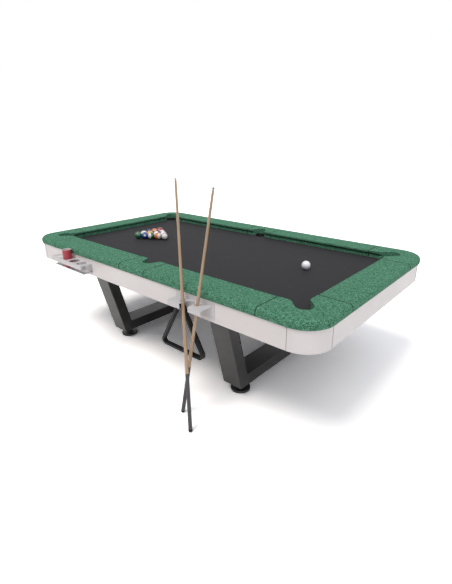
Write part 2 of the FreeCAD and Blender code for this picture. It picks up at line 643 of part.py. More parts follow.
def bed_frame():
    """The members under the slab: one over each leg frame, two stringers and two end frames."""
    bolt_hole = "bolt_radius + bolt_clearance"
    rows = ("slab_bolt_first_y", "slab_bolt_first_y + slab_bolt_pitch_y")
    inner = "(leg_frame_x - leg_width / 2)"
    outer = "(leg_frame_x + leg_width / 2)"
    half = "stringer_width / 2"
    for name, sign in (("left", -1), ("right", 1)):
        member = body(f"cross_member_{name}")
        outline = rectangle("-1 * leg_width / 2", "leg_width / 2",
                            f"-1 * {CROSS_MEMBER_HALF}", CROSS_MEMBER_HALF)
        extrude(member, "Pad", "XY", "bed_frame_height", [outline],
                middle="bed_frame_height / 2")
        holes = [("0", f"{side} * ({row})", bolt_hole) for side in (1, -1) for row in rows]
        extrude(member, "Pocket", "XY", "bed_frame_height * 3", circles=holes)
        place(member, f"{sign} * leg_frame_x", "0", FRAME_BOTTOM)
        frame = body(f"end_frame_{name}")
        inside = f"({END_FRAME_REACH} - stringer_width)"
        outline = [(outer, f"-1 * (stringer_y + {half})"),
                   (END_FRAME_REACH, f"-1 * (stringer_y + {half})"),
                   (END_FRAME_REACH, f"stringer_y + {half}"), (outer, f"stringer_y + {half}"),
                   (outer, f"stringer_y - {half}"), (inside, f"stringer_y - {half}"),
                   (inside, f"-1 * (stringer_y - {half})"), (outer, f"-1 * (stringer_y - {half})")]
        extrude(frame, "Pad", "XY", "bed_frame_height", [outline],
                middle="bed_frame_height / 2")
        turn(frame, 0 if sign == 1 else 180)
        place(frame, z=FRAME_BOTTOM)
    for side, sign in (("far", 1), ("near", -1)):
        stringer = body(f"stringer_{side}")
        outline = rectangle(f"-1 * {inner}", inner, f"-1 * {half}", half)
        extrude(stringer, "Pad", "XY", "bed_frame_height", [outline],
                middle="bed_frame_height / 2")
        place(stringer, "0", f"{sign} * stringer_y", FRAME_BOTTOM)


def bolt(grip):
    """A hexagon bolt that points up, its shank starting at its own origin."""
    screw = doc.addObject("PartDesign::Body", "bolt")
    corners = [(f"bolt_head_radius * cos({60 * step})", f"bolt_head_radius * sin({60 * step})")
               for step in range(6)]
    extrude(screw, "Pad", "XY", "bolt_head_height", [corners], middle="-1 * bolt_head_height / 2")
    extrude(screw, "Pad", "XY", f"({grip})", circles=[("0", "0", "bolt_radius")],
            middle=f"({grip}) / 2")
    return screw


def frame_bolts():
    slab_bolts = []
    leg_bolts = []
    for column in (1, -1):
        for row in (1, -1):
            screw = bolt("beam_height + leg_bolt_grip - bolt_clearance")
            place(screw, f"{column} * leg_frame_x", f"{row} * ({BEAM_REACH} - leg_bolt_inset)", "beam_bottom")
            leg_bolts.append(screw)
            for step in (0, 1):
                screw = bolt("bed_frame_height + slab_bolt_grip - bolt_clearance")
                place(screw, f"{column} * leg_frame_x",
                      f"{row} * (slab_bolt_first_y + {step} * slab_bolt_pitch_y)", FRAME_BOTTOM)
                slab_bolts.append(screw)
    compound("leg_bolts", leg_bolts)
    compound("slab_bolts", slab_bolts)


def levelling_feet():
    """Pad, hub, stem and lock nut of each foot, one piece that moves down out of its beam."""
    stem_top = "beam_bottom + foot_stem_engaged"
    nut_top = "beam_bottom - running_clearance"
    hub_top = "(foot_pad_height + foot_hub_height)"
    outline = [("0", "0"), ("foot_radius", "0"), ("foot_radius", "foot_pad_height"),
               ("foot_hub_radius", "foot_pad_height"), ("foot_stem_radius", hub_top),
               ("foot_stem_radius", stem_top), ("0", stem_top)]
    for end, column in (("left", -1), ("right", 1)):
        for side, row in (("far", 1), ("near", -1)):
            foot = body(f"foot_{side}_{end}")
            revolve(foot, "Revolution", outline)
            round_edges(foot, "foot_pad_round",
                        lambda edge: level_at(edge, value("foot_pad_height"))
                        and near(edge.BoundBox.XLength, 2 * value("foot_radius")))
            corners = [(f"foot_nut_radius * cos({60 * step})", f"foot_nut_radius * sin({60 * step})")
                       for step in range(6)]
            extrude(foot, "Pad", "XY", "foot_nut_height", [corners],
                    middle=f"{nut_top} - foot_nut_height / 2")
            place(foot, f"{column} * leg_frame_x", f"{row} * {FOOT_Y}")


def shelf_body(label, length, x, back):
    """A folded shelf and its front lip. Its own origin is on the apron's face at its top."""
    shelf = body(label)
    skin = "shelf_sheet"
    outline = [("0", "0")] + back
    outline += [(f"{skin} - shelf_depth", f"-1 * {skin}"),
                (f"{skin} - shelf_depth", "-1 * shelf_lip"), ("-1 * shelf_depth", "-1 * shelf_lip"),
                ("-1 * shelf_depth", "0")]
    extrude(shelf, "Pad", "YZ", length, [outline])
    place(shelf, x, FRONT, SHELF_TOP)
    return shelf


def cue_run(name, axis):
    """Level run of a cue along one axis, from the floor to the top of the cue rest."""
    if axis == "x":
        return f"(cue_{name}_pass_right - cue_{name}_butt_right)"
    return f"(cue_{name}_butt_out - cue_{name}_pass_out)"


def cue_level(name):
    """Level distance of that run."""
    return f"sqrt({cue_run(name, 'x')} ^ 2 + {cue_run(name, 'y')} ^ 2)"


def cue_reach(name):
    """Length of the cue from the floor to the top of the cue rest."""
    return f"sqrt({cue_level(name)} ^ 2 + {SHELF_TOP} ^ 2)"


def cue_slope(name):
    """Radius that a cue loses for each unit of its length."""
    return f"((cue_butt_radius - cue_tip_radius) / cue_{name}_length)"


def cue_radius_at_rest(name):
    return f"(cue_butt_radius - {cue_slope(name)} * {cue_reach(name)})"


def screw_spots(length):
    return [f"{side} * ({length} / 2 - shelf_screw_inset)" for side in (-1, 1)]


def screw_holes(owner, spots, height):
    """Clearance holes through an upright sheet."""
    circles = [(spot, height, "shelf_screw_radius + bolt_clearance") for spot in spots]
    extrude(owner, "Pocket", "XZ", "(shelf_sheet + apron_sheet) * 2", circles=circles)


def cue_rest():
    """A notched shelf on an upright back plate, which leaves room for the foot of the rack peg."""
    rest = shelf_body("cue_rest", "cue_rest_length", "cue_rest_x", [("0", "-1 * shelf_sheet")])
    plate = rectangle("-1 * shelf_sheet", "0", "-1 * rest_plate_drop", "rest_plate_rise")
    extrude(rest, "Pad", "YZ", "rest_plate_length", [plate])
    screw_holes(rest, screw_spots("cue_rest_length"), "-1 * shelf_screw_drop")
    extrude(rest, "Pocket", "XZ", "shelf_sheet * 4",
            circles=[("-1 * peg_offset", f"{PEG_Z} - {SHELF_TOP}",
                      "peg_cap_radius + running_clearance")])
    inner = "-1 * (rest_notch_end + rest_notch_half)"
    notch = rectangle("-1 * rest_notch_half", "rest_notch_half",
                      "-1 * shelf_depth - overrun", inner)
    extrude(rest, "Pocket", "XY", "shelf_lip * 3", [notch])
    extrude(rest, "Pocket", "XY", "shelf_sheet * 4",
            circles=[("0", inner, "rest_notch_half")])
    holes = []
    for name in ("a", "b"):
        # The cue lies against the rim of its hole on the side to which it leans.
        slack = f"(cue_hole_radius - ({cue_radius_at_rest(name)} + running_clearance)"
        slack += f" * {cue_reach(name)} / {SHELF_TOP})"
        x = f"cue_{name}_pass_right - {slack} * {cue_run(name, 'x')} / {cue_level(name)}"
        y = f"-1 * cue_{name}_pass_out - {slack} * {cue_run(name, 'y')} / {cue_level(name)}"
        holes.append((x, y, "cue_hole_radius"))
    extrude(rest, "Pocket", "XY", "shelf_sheet * 4", circles=holes)


def cup_shelf():
    """A shelf with four holes, folded down along the apron and out again to a lower tray."""
    tray_under = "-1 * (tray_drop + shelf_sheet)"
    back = [("0", tray_under), ("-1 * tray_depth", tray_under), ("-1 * tray_depth", "-1 * tray_drop"),
            ("-1 * shelf_sheet", "-1 * tray_drop"), ("-1 * shelf_sheet", "-1 * shelf_sheet")]
    shelf = shelf_body("cup_shelf", "cup_shelf_length", "cup_shelf_x", back)
    screw_holes(shelf, screw_spots("cup_shelf_length"), "-1 * shelf_screw_drop")
    holes = [(f"{step} * cup_hole_pitch / 2", "-1 * cup_hole_y", "cup_hole_radius")
             for step in (-3, -1, 1, 3)]
    extrude(shelf, "Pocket", "XY", "shelf_sheet * 4", circles=holes)


def tumbler():
    """A tapered beaker that stands on the shelf's tray through the second hole from the left."""
    cup = body("tumbler")
    slope = "(tumbler_rim_radius - tumbler_base_radius)"
    outline = [("0", "0"), ("tumbler_base_radius", "0"), ("tumbler_rim_radius", "tumbler_height"),
               ("tumbler_rim_radius - tumbler_wall", "tumbler_height"),
               (f"tumbler_base_radius - tumbler_wall + {slope} * tumbler_wall / tumbler_height",
                "tumbler_wall"), ("0", "tumbler_wall")]
    revolve(cup, "Revolution", outline)
    place(cup, "cup_shelf_x - cup_hole_pitch / 2", f"{FRONT} - cup_hole_y",
          f"{SHELF_TOP} - tray_drop + running_clearance")


RACK_INNER_SIDE = "(2 * ball_radius * (4 + sqrt(3)) + rack_spare)"
RACK_OUTER_SIDE = f"({RACK_INNER_SIDE} + 2 * sqrt(3) * rack_wall)"
# From the peg's centre up to the sharp inner apex: the rounded apex rests just over the peg.
INNER_APEX = "(peg_radius + running_clearance + rack_inner_round)"
RACK_FRONT = f"({FRONT} - peg_cap_height - rack_gap - rack_depth)"


def rack_triangle(side, top):
    """A level-based triangle in the XZ plane with its sharp apex at the given height."""
    return [(f"-1 * {side} / 2", f"{top} - {side} * sqrt(3) / 2"),
            (f"{side} / 2", f"{top} - {side} * sqrt(3) / 2"), ("0", top)]


def triangle_rack():
    """The ball rack, hung from its peg by its rounded inner apex. Its origin is the peg."""
    rack = body("triangle_rack")
    extrude(rack, "Pad", "XZ", "rack_depth",
            [rack_triangle(RACK_OUTER_SIDE, f"({INNER_APEX} + 2 * rack_wall)")])
    extrude(rack, "Pocket", "XZ", "rack_depth * 2", [rack_triangle(RACK_INNER_SIDE, INNER_APEX)])
    middle = value(f"{INNER_APEX} - {RACK_INNER_SIDE} / sqrt(3)")
    for side, radius in ((RACK_INNER_SIDE, "rack_inner_round"),
                         (RACK_OUTER_SIDE, "rack_inner_round + rack_wall")):
        reach = value(f"{side} / sqrt(3)")
        round_edges(rack, radius, lambda edge: along(edge, "y")
                    and near(math.hypot(edge.BoundBox.XMin, edge.BoundBox.ZMin - middle), reach))
    round_edges(rack, "rack_edge_radius", lambda edge: edge.BoundBox.YLength < 1e-4)
    place(rack, PEG_X, f"{RACK_FRONT} + rack_depth / 2", PEG_Z)


def rack_peg():
    """A round peg with a foot on the apron and a cap in front of the rack."""
    peg = body("rack_peg")
    length = "(2 * peg_cap_height + 2 * rack_gap + rack_depth)"
    outline = [("0", "0"), ("peg_cap_radius", "0"), ("peg_cap_radius", "peg_cap_height"),
               ("peg_radius", "peg_cap_height"), ("peg_radius", f"{length} - peg_cap_height"),
               ("peg_cap_radius", f"{length} - peg_cap_height"), ("peg_cap_radius", length),
               ("0", length)]
    revolve(peg, "Revolution", outline)
    turn(peg, 90, (1, 0, 0))
    place(peg, PEG_X, FRONT, PEG_Z)


def shelf_screws():
    """Screws that hold the cue rest and the cup shelf to the apron, heads under the shelves."""
    solids = []
    for length, x in SHELVES:
        for spot in screw_spots(length):
            screw = doc.addObject("PartDesign::Body", "screw")
            outline = [("0", "-1 * shelf_screw_grip"), ("shelf_screw_radius", "-1 * shelf_screw_grip"),
                       ("shelf_screw_radius", "shelf_sheet"), ("shelf_screw_head", "shelf_sheet"),
                       ("shelf_screw_head", "2 * shelf_sheet"), ("0", "2 * shelf_sheet")]
            revolve(screw, "Revolution", outline)
            turn(screw, 90, (1, 0, 0))
            place(screw, f"{x} + {spot}", FRONT, f"{SHELF_TOP} - shelf_screw_drop")
            solids.append(screw)
    compound("shelf_screws", solids)


def ball(x, y):
    sphere = doc.addObject("Part::Sphere", "ball")
    bind(sphere, Radius="ball_radius")
    place(sphere, x, y, "bed_height + ball_radius + ball_seat")
    return sphere


def balls():
    """Fifteen racked balls in one group, their tip towards the cue ball, and the cue ball."""
    pitch = "(2 * ball_radius + ball_seat)"
    solids = []
    for row in range(5):
        for place_in_row in range(row + 1):
            x = f"rack_apex_x - {row} * {pitch} * sqrt(3) / 2"
            y = f"rack_apex_y + ({place_in_row} - {row} / 2) * {pitch}"
            solids.append(ball(x, y))
    compound("racked_balls", solids)
    part(ball("cue_ball_x", "cue_ball_y"), "cue_ball")


def cue(name):
    """A cue that leans through its hole: sleeve, shaft and tip on one slanted axis."""
    lean = FreeCAD.Vector(value(cue_run(name, "x")), value(cue_run(name, "y")),
                          value(SHELF_TOP))
    length = f"cue_{name}_length"
    # Lowest point of the slanted, rounded butt under the middle of its end.
    sine = f"({cue_level(name)} / {cue_reach(name)})"
    cosine = f"({SHELF_TOP} / {cue_reach(name)})"
    dip = f"((cue_butt_radius - cue_bumper_round) * {sine} + cue_bumper_round * (1 - {cosine}))"
    stretches = (("sleeve", "0", "cue_sleeve_length"),
                 ("shaft", "cue_sleeve_length", f"{length} - cue_ferrule_length"),
                 ("tip", f"{length} - cue_ferrule_length", length))
    for piece, low, high in stretches:
        stick = body(f"cue_{name}_{piece}")
        low_radius, high_radius = (f"cue_butt_radius - {cue_slope(name)} * ({end})"
                                   for end in (low, high))
        revolve(stick, "Revolution", [("0", low), (low_radius, low), (high_radius, high),
                                      ("0", high)])
        end = {"sleeve": low, "tip": high}.get(piece)
        if end:
            width = value(f"2 * (cue_butt_radius - {cue_slope(name)} * ({end}))")
            round_edges(stick, "cue_bumper_round", lambda edge: level_at(edge, value(end))
                        and near(edge.BoundBox.XLength, width))
        stick.Placement.Rotation = FreeCAD.Rotation(FreeCAD.Vector(0, 0, 1), lean)
        place(stick, f"cue_rest_x + cue_{name}_butt_right", f"{FRONT} - cue_{name}_butt_out",
              f"{dip} + running_clearance")


def move_origin():
    """Put the origin on the floor under the middle of all that stands there."""
    doc.recompute()
    boxes = [thing.Shape.optimalBoundingBox(False) for thing in parts]
    low = min(box.YMin for box in boxes)
    high = max(box.YMax for box in boxes)
    sheet.set(sheet.getCellFromAlias("origin_shift"), str(-(low + high) / 2))
    for thing in parts:
        bind(thing, Placement__Base__y=f"{places_y.get(thing.Name, '0')} + origin_shift")


def check(thing):
    """Stop on a failed feature or a bad shape."""
    if "Invalid" in thing.State or "Error" in thing.State:
        raise ValueError(f"{thing.Label} failed: {thing.State}")


def write():
    doc.recompute()
    for thing in doc.Objects:
        check(thing)
    os.makedirs("parts", exist_ok=True)
    for thing in parts:
        shape = thing.Shape
        if shape.isNull() or not shape.isValid():
            raise ValueError(f"{thing.Label} has no valid shape")
        shape.exportStep(f"parts/{thing.Label}.step")
    print(len(parts), "parts written")


def main():
    bed_slab()
    straight_rails()
    middle_rails()
    corner_rails()
    pocket_cups()
    aprons()
    apron_brackets()
    leg_frames()
    bed_frame()
    frame_bolts()
    levelling_feet()
    cue_rest()
    cup_shelf()
    tumbler()
    triangle_rack()
    rack_peg()
    shelf_screws()
    balls()
    cue("a")
    cue("b")
    move_origin()
    write()


main()
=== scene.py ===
import math

import bmesh
import bpy
from mathutils import Matrix, Vector


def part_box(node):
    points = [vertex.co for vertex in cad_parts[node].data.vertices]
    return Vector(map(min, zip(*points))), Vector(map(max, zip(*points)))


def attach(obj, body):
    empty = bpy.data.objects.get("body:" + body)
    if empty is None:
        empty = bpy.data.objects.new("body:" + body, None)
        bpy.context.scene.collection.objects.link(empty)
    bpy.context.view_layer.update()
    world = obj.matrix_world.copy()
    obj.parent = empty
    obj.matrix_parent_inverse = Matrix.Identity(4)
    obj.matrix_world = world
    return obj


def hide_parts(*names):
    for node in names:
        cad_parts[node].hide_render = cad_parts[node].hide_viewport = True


bl_info = {
    "name": "Outdoor billiard table",
    "version": (1, 0, 0),
    "blender": (4, 5, 0),
    "location": "3D View > Sidebar > Table",
    "description": "Finishes and fine shapes of an outdoor billiard table, over its packed parts",
    "category": "Object",
}

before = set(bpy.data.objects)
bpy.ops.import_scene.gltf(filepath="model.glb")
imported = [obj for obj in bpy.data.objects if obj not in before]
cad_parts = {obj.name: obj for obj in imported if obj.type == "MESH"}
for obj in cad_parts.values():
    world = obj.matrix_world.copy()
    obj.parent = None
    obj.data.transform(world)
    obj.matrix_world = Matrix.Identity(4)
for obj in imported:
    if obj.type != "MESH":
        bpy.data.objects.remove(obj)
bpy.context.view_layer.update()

MM = 0.001
UP = Vector((0, 0, 1))
# Points closer than this are one point.
SAME_PLACE = 0.001 * MM
# Edges where a mesh turns by more than this look sharp.
SHARP_ANGLE = math.radians(35)
# The middle of the table on the floor, which the leaning cues keep off the origin.
MIDDLE = (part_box("bed_slab")[0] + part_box("bed_slab")[1]) / 2 * Vector((1, 1, 0))
BALL_RADIUS = (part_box("cue_ball")[1].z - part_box("cue_ball")[0].z) / 2
PHOTO_WIDTH = 452
PHOTO_HEIGHT = 584
# Added to the slot of a face that a bevel makes, until the sharp edges are set.
ROUNDED = 8


def linear(code):
    """The linear colour of an sRGB hex code."""
    channels = [int(code[start:start + 2], 16) / 255 for start in (1, 3, 5)]
    return tuple(c / 12.92 if c <= 0.04045 else ((c + 0.055) / 1.055) ** 2.4 for c in channels)


def colour(name, description, code):
    """A colour property whose default is an sRGB hex code."""
    return bpy.props.FloatVectorProperty(name=name, description=description, default=linear(code),
                                         subtype="COLOR", size=3, min=0, max=1)


def length(name, description, millimetres):
    """A length property whose default is given in millimetres."""
    return bpy.props.FloatProperty(name=name, description=description, default=millimetres * MM,
                                   unit="LENGTH", min=0)


def number(name, description, default):
    """A plain number property."""
    return bpy.props.FloatProperty(name=name, description=description, default=default, min=0)


def angle(name, description, radians):
    """An angle property, which Blender shows in degrees."""
    return bpy.props.FloatProperty(name=name, description=description, default=radians,
                                   unit="ROTATION")


def direction(name, description, default):
    """A direction property."""
    return bpy.props.FloatVectorProperty(name=name, description=description, default=default,
                                         subtype="DIRECTION")


class BoardSettings(bpy.types.PropertyGroup):
    """Playing board and pocket cups."""
    face: colour("Board", "Matt face of the laminate", "#303032")
    scuff: colour("Scuffs", "Marks that balls leave", "#3F3F42")
    cup: colour("Pocket cups", "Moulded plastic", "#1E1E20")


class RailSettings(bpy.types.PropertyGroup):
    """Cushion rails of bonded rubber granules."""
    granule: length("Granule", "Size of one granule", 3.8)
    cluster: length("Cluster", "Size of a lighter or darker patch", 16)
    light: colour("Light granules", "Lightest green", "#71A98C")
    middle: colour("Middle granules", "Commonest green", "#4F876B")
    dark: colour("Dark granules", "Darkest green", "#2A5B42")
    edge: length("Seam edge", "Rounded edge of each piece where two pieces meet", 2.4)


class CoatSettings(bpy.types.PropertyGroup):
    """Powder coats, enamel and bare metals."""
    apron: colour("Apron", "Powder coat of the apron", "#E5DFDE")
    shelf: colour("Shelves", "Powder coat of the cue rest and the cup shelf", "#CECBCC")
    # Painted highlight: a whiter copy of the shelves' coat on their folds.
    bright: colour("Bright folds", "Painted highlight on the folds of the shelves", "#FBFAFA")
    leg: colour("Legs", "Powder coat of the leg frames", "#1D1B1A")
    grain: length("Grain", "Ripple of the powder coat", 1.6)
    aluminium: colour("Aluminium", "Frame under the board", "#B9BABC")
    zinc: colour("Zinc", "Screws, bolts and brackets", "#B5B6B8")
    iron: colour("Feet", "Painted iron", "#1B1C1E")
    fold: length("Folded edge", "Rounding of the apron's edges and folds", 0.8)
    shelf_fold: length("Shelf edge", "Rounding of the shelves' edges and folds", 1.6)
    seam: length("Seam edge", "Rounding where two panels of the apron meet", 1.6)
    # Painted shade: a dark grey copy of the apron's coat in its seams and along the cue rest's
    # back plate.
    seam_shade: colour("Seam", "Painted shade in the apron's seams and along the cue rest's back plate", "#6E6B6A")


class FootSettings(bpy.types.PropertyGroup):
    """Levelling feet."""
    pitch: length("Thread pitch", "Turn to turn", 3)
    thread: length("Thread depth", "Height of the thread's ridge", 1.3)
    stem: length("Stem", "Radius of the stem over its thread", 10)
    nut: length("Nut", "Radius of the lock nut over its corners", 21)
    steel: colour("Steel", "Blackened steel of the stem and its nut", "#3A3B3E")


class CueSettings(bpy.types.PropertyGroup):
    """Two cues."""
    wood: colour("Wood", "Lacquered maple", "#AE9173")
    grain: colour("Grain", "Dark lines of the maple", "#9A7B58")
    sleeve: colour("Sleeve", "Matt wrap of the butt", "#46474A")
    ring: colour("Rings", "Rings at both ends of the sleeve", "#2B2C2E")
    ferrule: colour("Ferrule", "Plastic ferrule", "#C9C8C4")
    leather_a: colour("Dark leather", "Tip of the cue that leans to the right", "#3E4650")
    leather_b: colour("Pale leather", "Tip of the cue that leans to the left", "#BDB6AC")
    bumper: colour("Bumper", "Rubber at the butt", "#1C1C1D")
    tip: length("Tip", "Thickness of the leather tip", 5)


class RackSettings(bpy.types.PropertyGroup):
    """Ball rack and tumbler."""
    rack: colour("Rack", "Moulded plastic of the rack", "#0F1011")
    tumbler: colour("Tumbler", "Plastic of the tumbler", "#B23440")
    tumbler_inside: colour("Tumbler inside", "Its paler inside and rim", "#EBDEDC")


class BallSettings(bpy.types.PropertyGroup):
    """Balls."""
    spot: length("Spot", "Radius of the white spot with the number", 8.5)
    stripe: length("Stripe", "Half width of the coloured stripe", 15)
    digit: length("Digits", "Height of the numbers", 8)
    ink: colour("Ink", "Black of the numbers", "#141414")
    white: colour("White", "White of the balls", "#F0EEE9")
    cue_ball: colour("Cue ball", "White of the cue ball", "#FBFBFF")


class StageSettings(bpy.types.PropertyGroup):
    """Floor, light and camera."""
    key: number("Key", "Strength of the soft key light", 1.5)
    side: number("Side", "Strength of the wide light from the right", 0.95)
    level: number("Level", "Strength of the surroundings at the horizon", 0.08)
    overhead: number("Overhead", "What they gain from the horizon to straight above", 0.43)
    key_width: angle("Key width", "Width of the key light", math.radians(24))
    side_width: angle("Side width", "Width of the light from the right", math.radians(72))
    key_towards: direction("Key direction", "Where the key light shines to", (0.12, 0.72, -1.4))
    side_towards: direction("Side direction", "Where the light from the right shines to",
                            (-1, 0.3, -1))
    sky: colour("Surroundings", "Cool white of the surroundings", "#F2F4FB")
    floor: colour("Floor", "Pale floor", "#F6F4F2")
    floor_gain: number("Floor gain", "How much the seen floor is brightened towards white", 1.9)
    place: bpy.props.FloatVectorProperty(
        name="Camera", description="Camera, from the middle of the table on the floor",
        default=(1.99781, -2.09847, 1.54402), subtype="TRANSLATION", unit="LENGTH")
    yaw: angle("Yaw", "Turn to the left of straight across the table", 0.7108)
    pitch: angle("Pitch", "Tilt below level", 0.3589)
    roll: angle("Roll", "Turn about the line of sight", -0.0032)
    focal: number("Focal length", "Focal length in pixels of the photograph", 393.74)
    centre: bpy.props.FloatVectorProperty(
        name="Centre", description="Where the line of sight meets the photograph, in pixels",
        default=(232.43, 285.35), size=2)


class TableSettings(bpy.types.PropertyGroup):
    """All sizes and colours that this scene adds to the parts."""
    board: bpy.props.PointerProperty(type=BoardSettings)
    rail: bpy.props.PointerProperty(type=RailSettings)
    coat: bpy.props.PointerProperty(type=CoatSettings)
    foot: bpy.props.PointerProperty(type=FootSettings)
    cue: bpy.props.PointerProperty(type=CueSettings)
    rack: bpy.props.PointerProperty(type=RackSettings)
    ball: bpy.props.PointerProperty(type=BallSettings)
    stage: bpy.props.PointerProperty(type=StageSettings)


def toned(base, factor):
    """A colour made darker, or brighter up to white."""
    return tuple(min(1.0, factor * channel) for channel in base)


def fill(node, inputs):
    """Set or link a node's inputs. A node among the values stands for its first output in use."""
    for name, value in inputs.items():
        socket = node.inputs[name]
        if isinstance(value, bpy.types.Node):
            value = next(output for output in value.outputs if output.enabled)
        if isinstance(value, bpy.types.NodeSocket):
            node.id_data.links.new(value, socket)
        elif socket.type == "RGBA":
            socket.default_value = (*value, 1)
        else:
            socket.default_value = value


def add_node(tree, kind, inputs=None, **settings):
    """Add a node, change its settings, and set or link its inputs."""
    node = tree.nodes.new(kind)
    for name, value in settings.items():
        setattr(node, name, value)
    fill(node, inputs or {})
    return node


def new_material(name, base, roughness, metallic=0, own=False, **sockets):
    """A material with its shader's constants set, and the place that patterns start from: that
    in the whole table, or the piece's own."""
    material = bpy.data.materials.new(name)
    material.use_nodes = True
    tree = material.node_tree
    shader = tree.nodes["Principled BSDF"]
    constants = {"Base Color": base, "Roughness": roughness, "Metallic": metallic}
    constants.update((socket.replace("_", " "), value) for socket, value in sockets.items())
    fill(shader, constants)
    if own:
        place = add_node(tree, "ShaderNodeAttribute", attribute_name="own_place")
        return material, tree, shader, place.outputs["Vector"]
    return material, tree, shader, add_node(tree, "ShaderNodeTexCoord").outputs["Object"]


def weathered(name, base, worn, roughness, lumps, relief, gloss=None, squeeze=(1, 1, 1),
              **sockets):
    """A material that goes in soft lumps from one colour to another, over a fine relief. lumps
    gives their size, their detail and the two levels of the noise between which they fade.
    relief gives the grain's size, detail and depth, and squeeze its scale along each axis.
    gloss gives the roughness of both colours, where they differ."""
    material, tree, shader, place = new_material(name, base, roughness, **sockets)
    size, detail, start, end = lumps
    clouds = add_node(tree, "ShaderNodeTexNoise",
                      {"Vector": place, "Scale": 1 / size, "Detail": detail})
    faded = add_node(tree, "ShaderNodeMapRange",
                     {"Value": clouds, "From Min": start, "From Max": end})
    tint = add_node(tree, "ShaderNodeMix", {0: faded, 6: base, 7: worn}, data_type="RGBA")
    size, detail, depth = relief
    squeezed = add_node(tree, "ShaderNodeMapping", {"Vector": place, "Scale": squeeze})
    grain = add_node(tree, "ShaderNodeTexNoise",
                     {"Vector": squeezed, "Scale": 1 / size, "Detail": detail})
    raised = add_node(tree, "ShaderNodeBump", {"Height": grain, "Distance": depth})
    fill(shader, {"Base Color": tint, "Normal": raised})
    if gloss:
        shine = add_node(tree, "ShaderNodeMapRange",
                         {"Value": faded, "To Min": gloss[0], "To Max": gloss[1]})
        fill(shader, {"Roughness": shine})
    return material


def powder_coat(name, base, grain, roughness, **sockets):
    """Polyester powder coat on sheet metal, sprayed dry and baked: an even colour, a satin
    gloss broken by a fine orange peel, and a faint haze of dust."""
    material, tree, shader, place = new_material(name, base, roughness, **sockets)
    clouds = add_node(tree, "ShaderNodeTexNoise",
                      {"Vector": place, "Scale": 1 / (300 * MM), "Detail": 3})
    haze = add_node(tree, "ShaderNodeMapRange",
                    {"Value": clouds, "From Min": 0.35, "From Max": 0.7})
    tint = add_node(tree, "ShaderNodeMix", {0: haze, 6: base, 7: toned(base, 0.93)},
                    data_type="RGBA")
    smears = add_node(tree, "ShaderNodeTexNoise",
                      {"Vector": place, "Scale": 1 / (60 * MM), "Detail": 4})
    gloss = add_node(tree, "ShaderNodeMapRange", {
        "Value": smears, "From Min": 0.3, "From Max": 0.7, "To Min": roughness - 0.04,
        "To Max": roughness + 0.06})
    peel = add_node(tree, "ShaderNodeTexNoise", {"Vector": place, "Scale": 1 / grain})
    raised = add_node(tree, "ShaderNodeBump", {"Height": peel, "Distance": 0.05 * MM})
    fill(shader, {"Base Color": tint, "Roughness": gloss, "Normal": raised})
    return material


def bonded_rubber(name, rail, light):
    """Green rubber granules bonded with clear resin and pressed in a mould: matt, speckled light
    and dark from grain to grain, with painted shade in the fine pits between the grains. light
    scales the greens; the copy made much darker is painted shade on the edges where two pieces
    meet."""
    pale, plain, deep = (toned(shade, light) for shade in (rail.light, rail.middle, rail.dark))
    material, tree, shader, place = new_material(name, plain, 0.9, Specular_IOR_Level=0.25)
    # Real granules measure 1 to 4 mm. The size used is near the coarse end, so that they show.
    grains = add_node(tree, "ShaderNodeTexVoronoi",
                      {"Vector": place, "Scale": 1 / rail.granule, "Randomness": 1.0})
    dyes = add_node(tree, "ShaderNodeSeparateColor", {"Color": grains.outputs["Color"]})
    clouds = add_node(tree, "ShaderNodeTexNoise",
                      {"Vector": place, "Scale": 1 / rail.cluster, "Detail": 3})
    patches = add_node(tree, "ShaderNodeMapRange", {
        "Value": clouds, "From Min": 0.3, "From Max": 0.7, "To Min": -0.14, "To Max": 0.14})
    pick = add_node(tree, "ShaderNodeMath", {0: dyes.outputs["Red"], 1: patches},
                    operation="ADD")
    above_deep = add_node(tree, "ShaderNodeMapRange",
                          {"Value": pick, "From Min": 0.12, "From Max": 0.4})
    lower = add_node(tree, "ShaderNodeMix", {0: above_deep, 6: deep, 7: plain},
                     data_type="RGBA")
    above_plain = add_node(tree, "ShaderNodeMapRange",
                           {"Value": pick, "From Min": 0.55, "From Max": 0.95})
    upper = add_node(tree, "ShaderNodeMix", {0: above_plain, 6: lower, 7: pale},
                     data_type="RGBA")
    # Painted shade in the pits between the grains, fading to a darker copy of the darkest green.
    pits = add_node(tree, "ShaderNodeMapRange", {
        "Value": grains.outputs["Distance"], "From Min": 0.5, "From Max": 0.9, "To Max": 0.6})
    shadowed = add_node(tree, "ShaderNodeMix", {0: pits, 6: upper, 7: toned(deep, 0.6)},
                        data_type="RGBA")
    rise = add_node(tree, "ShaderNodeMath", {0: 1.0, 1: grains.outputs["Distance"]},
                    operation="SUBTRACT")
    raised = add_node(tree, "ShaderNodeBump",
                      {"Height": rise, "Distance": 0.5 * MM, "Strength": 0.5})
    fill(shader, {"Base Color": shadowed, "Normal": raised})
    return material


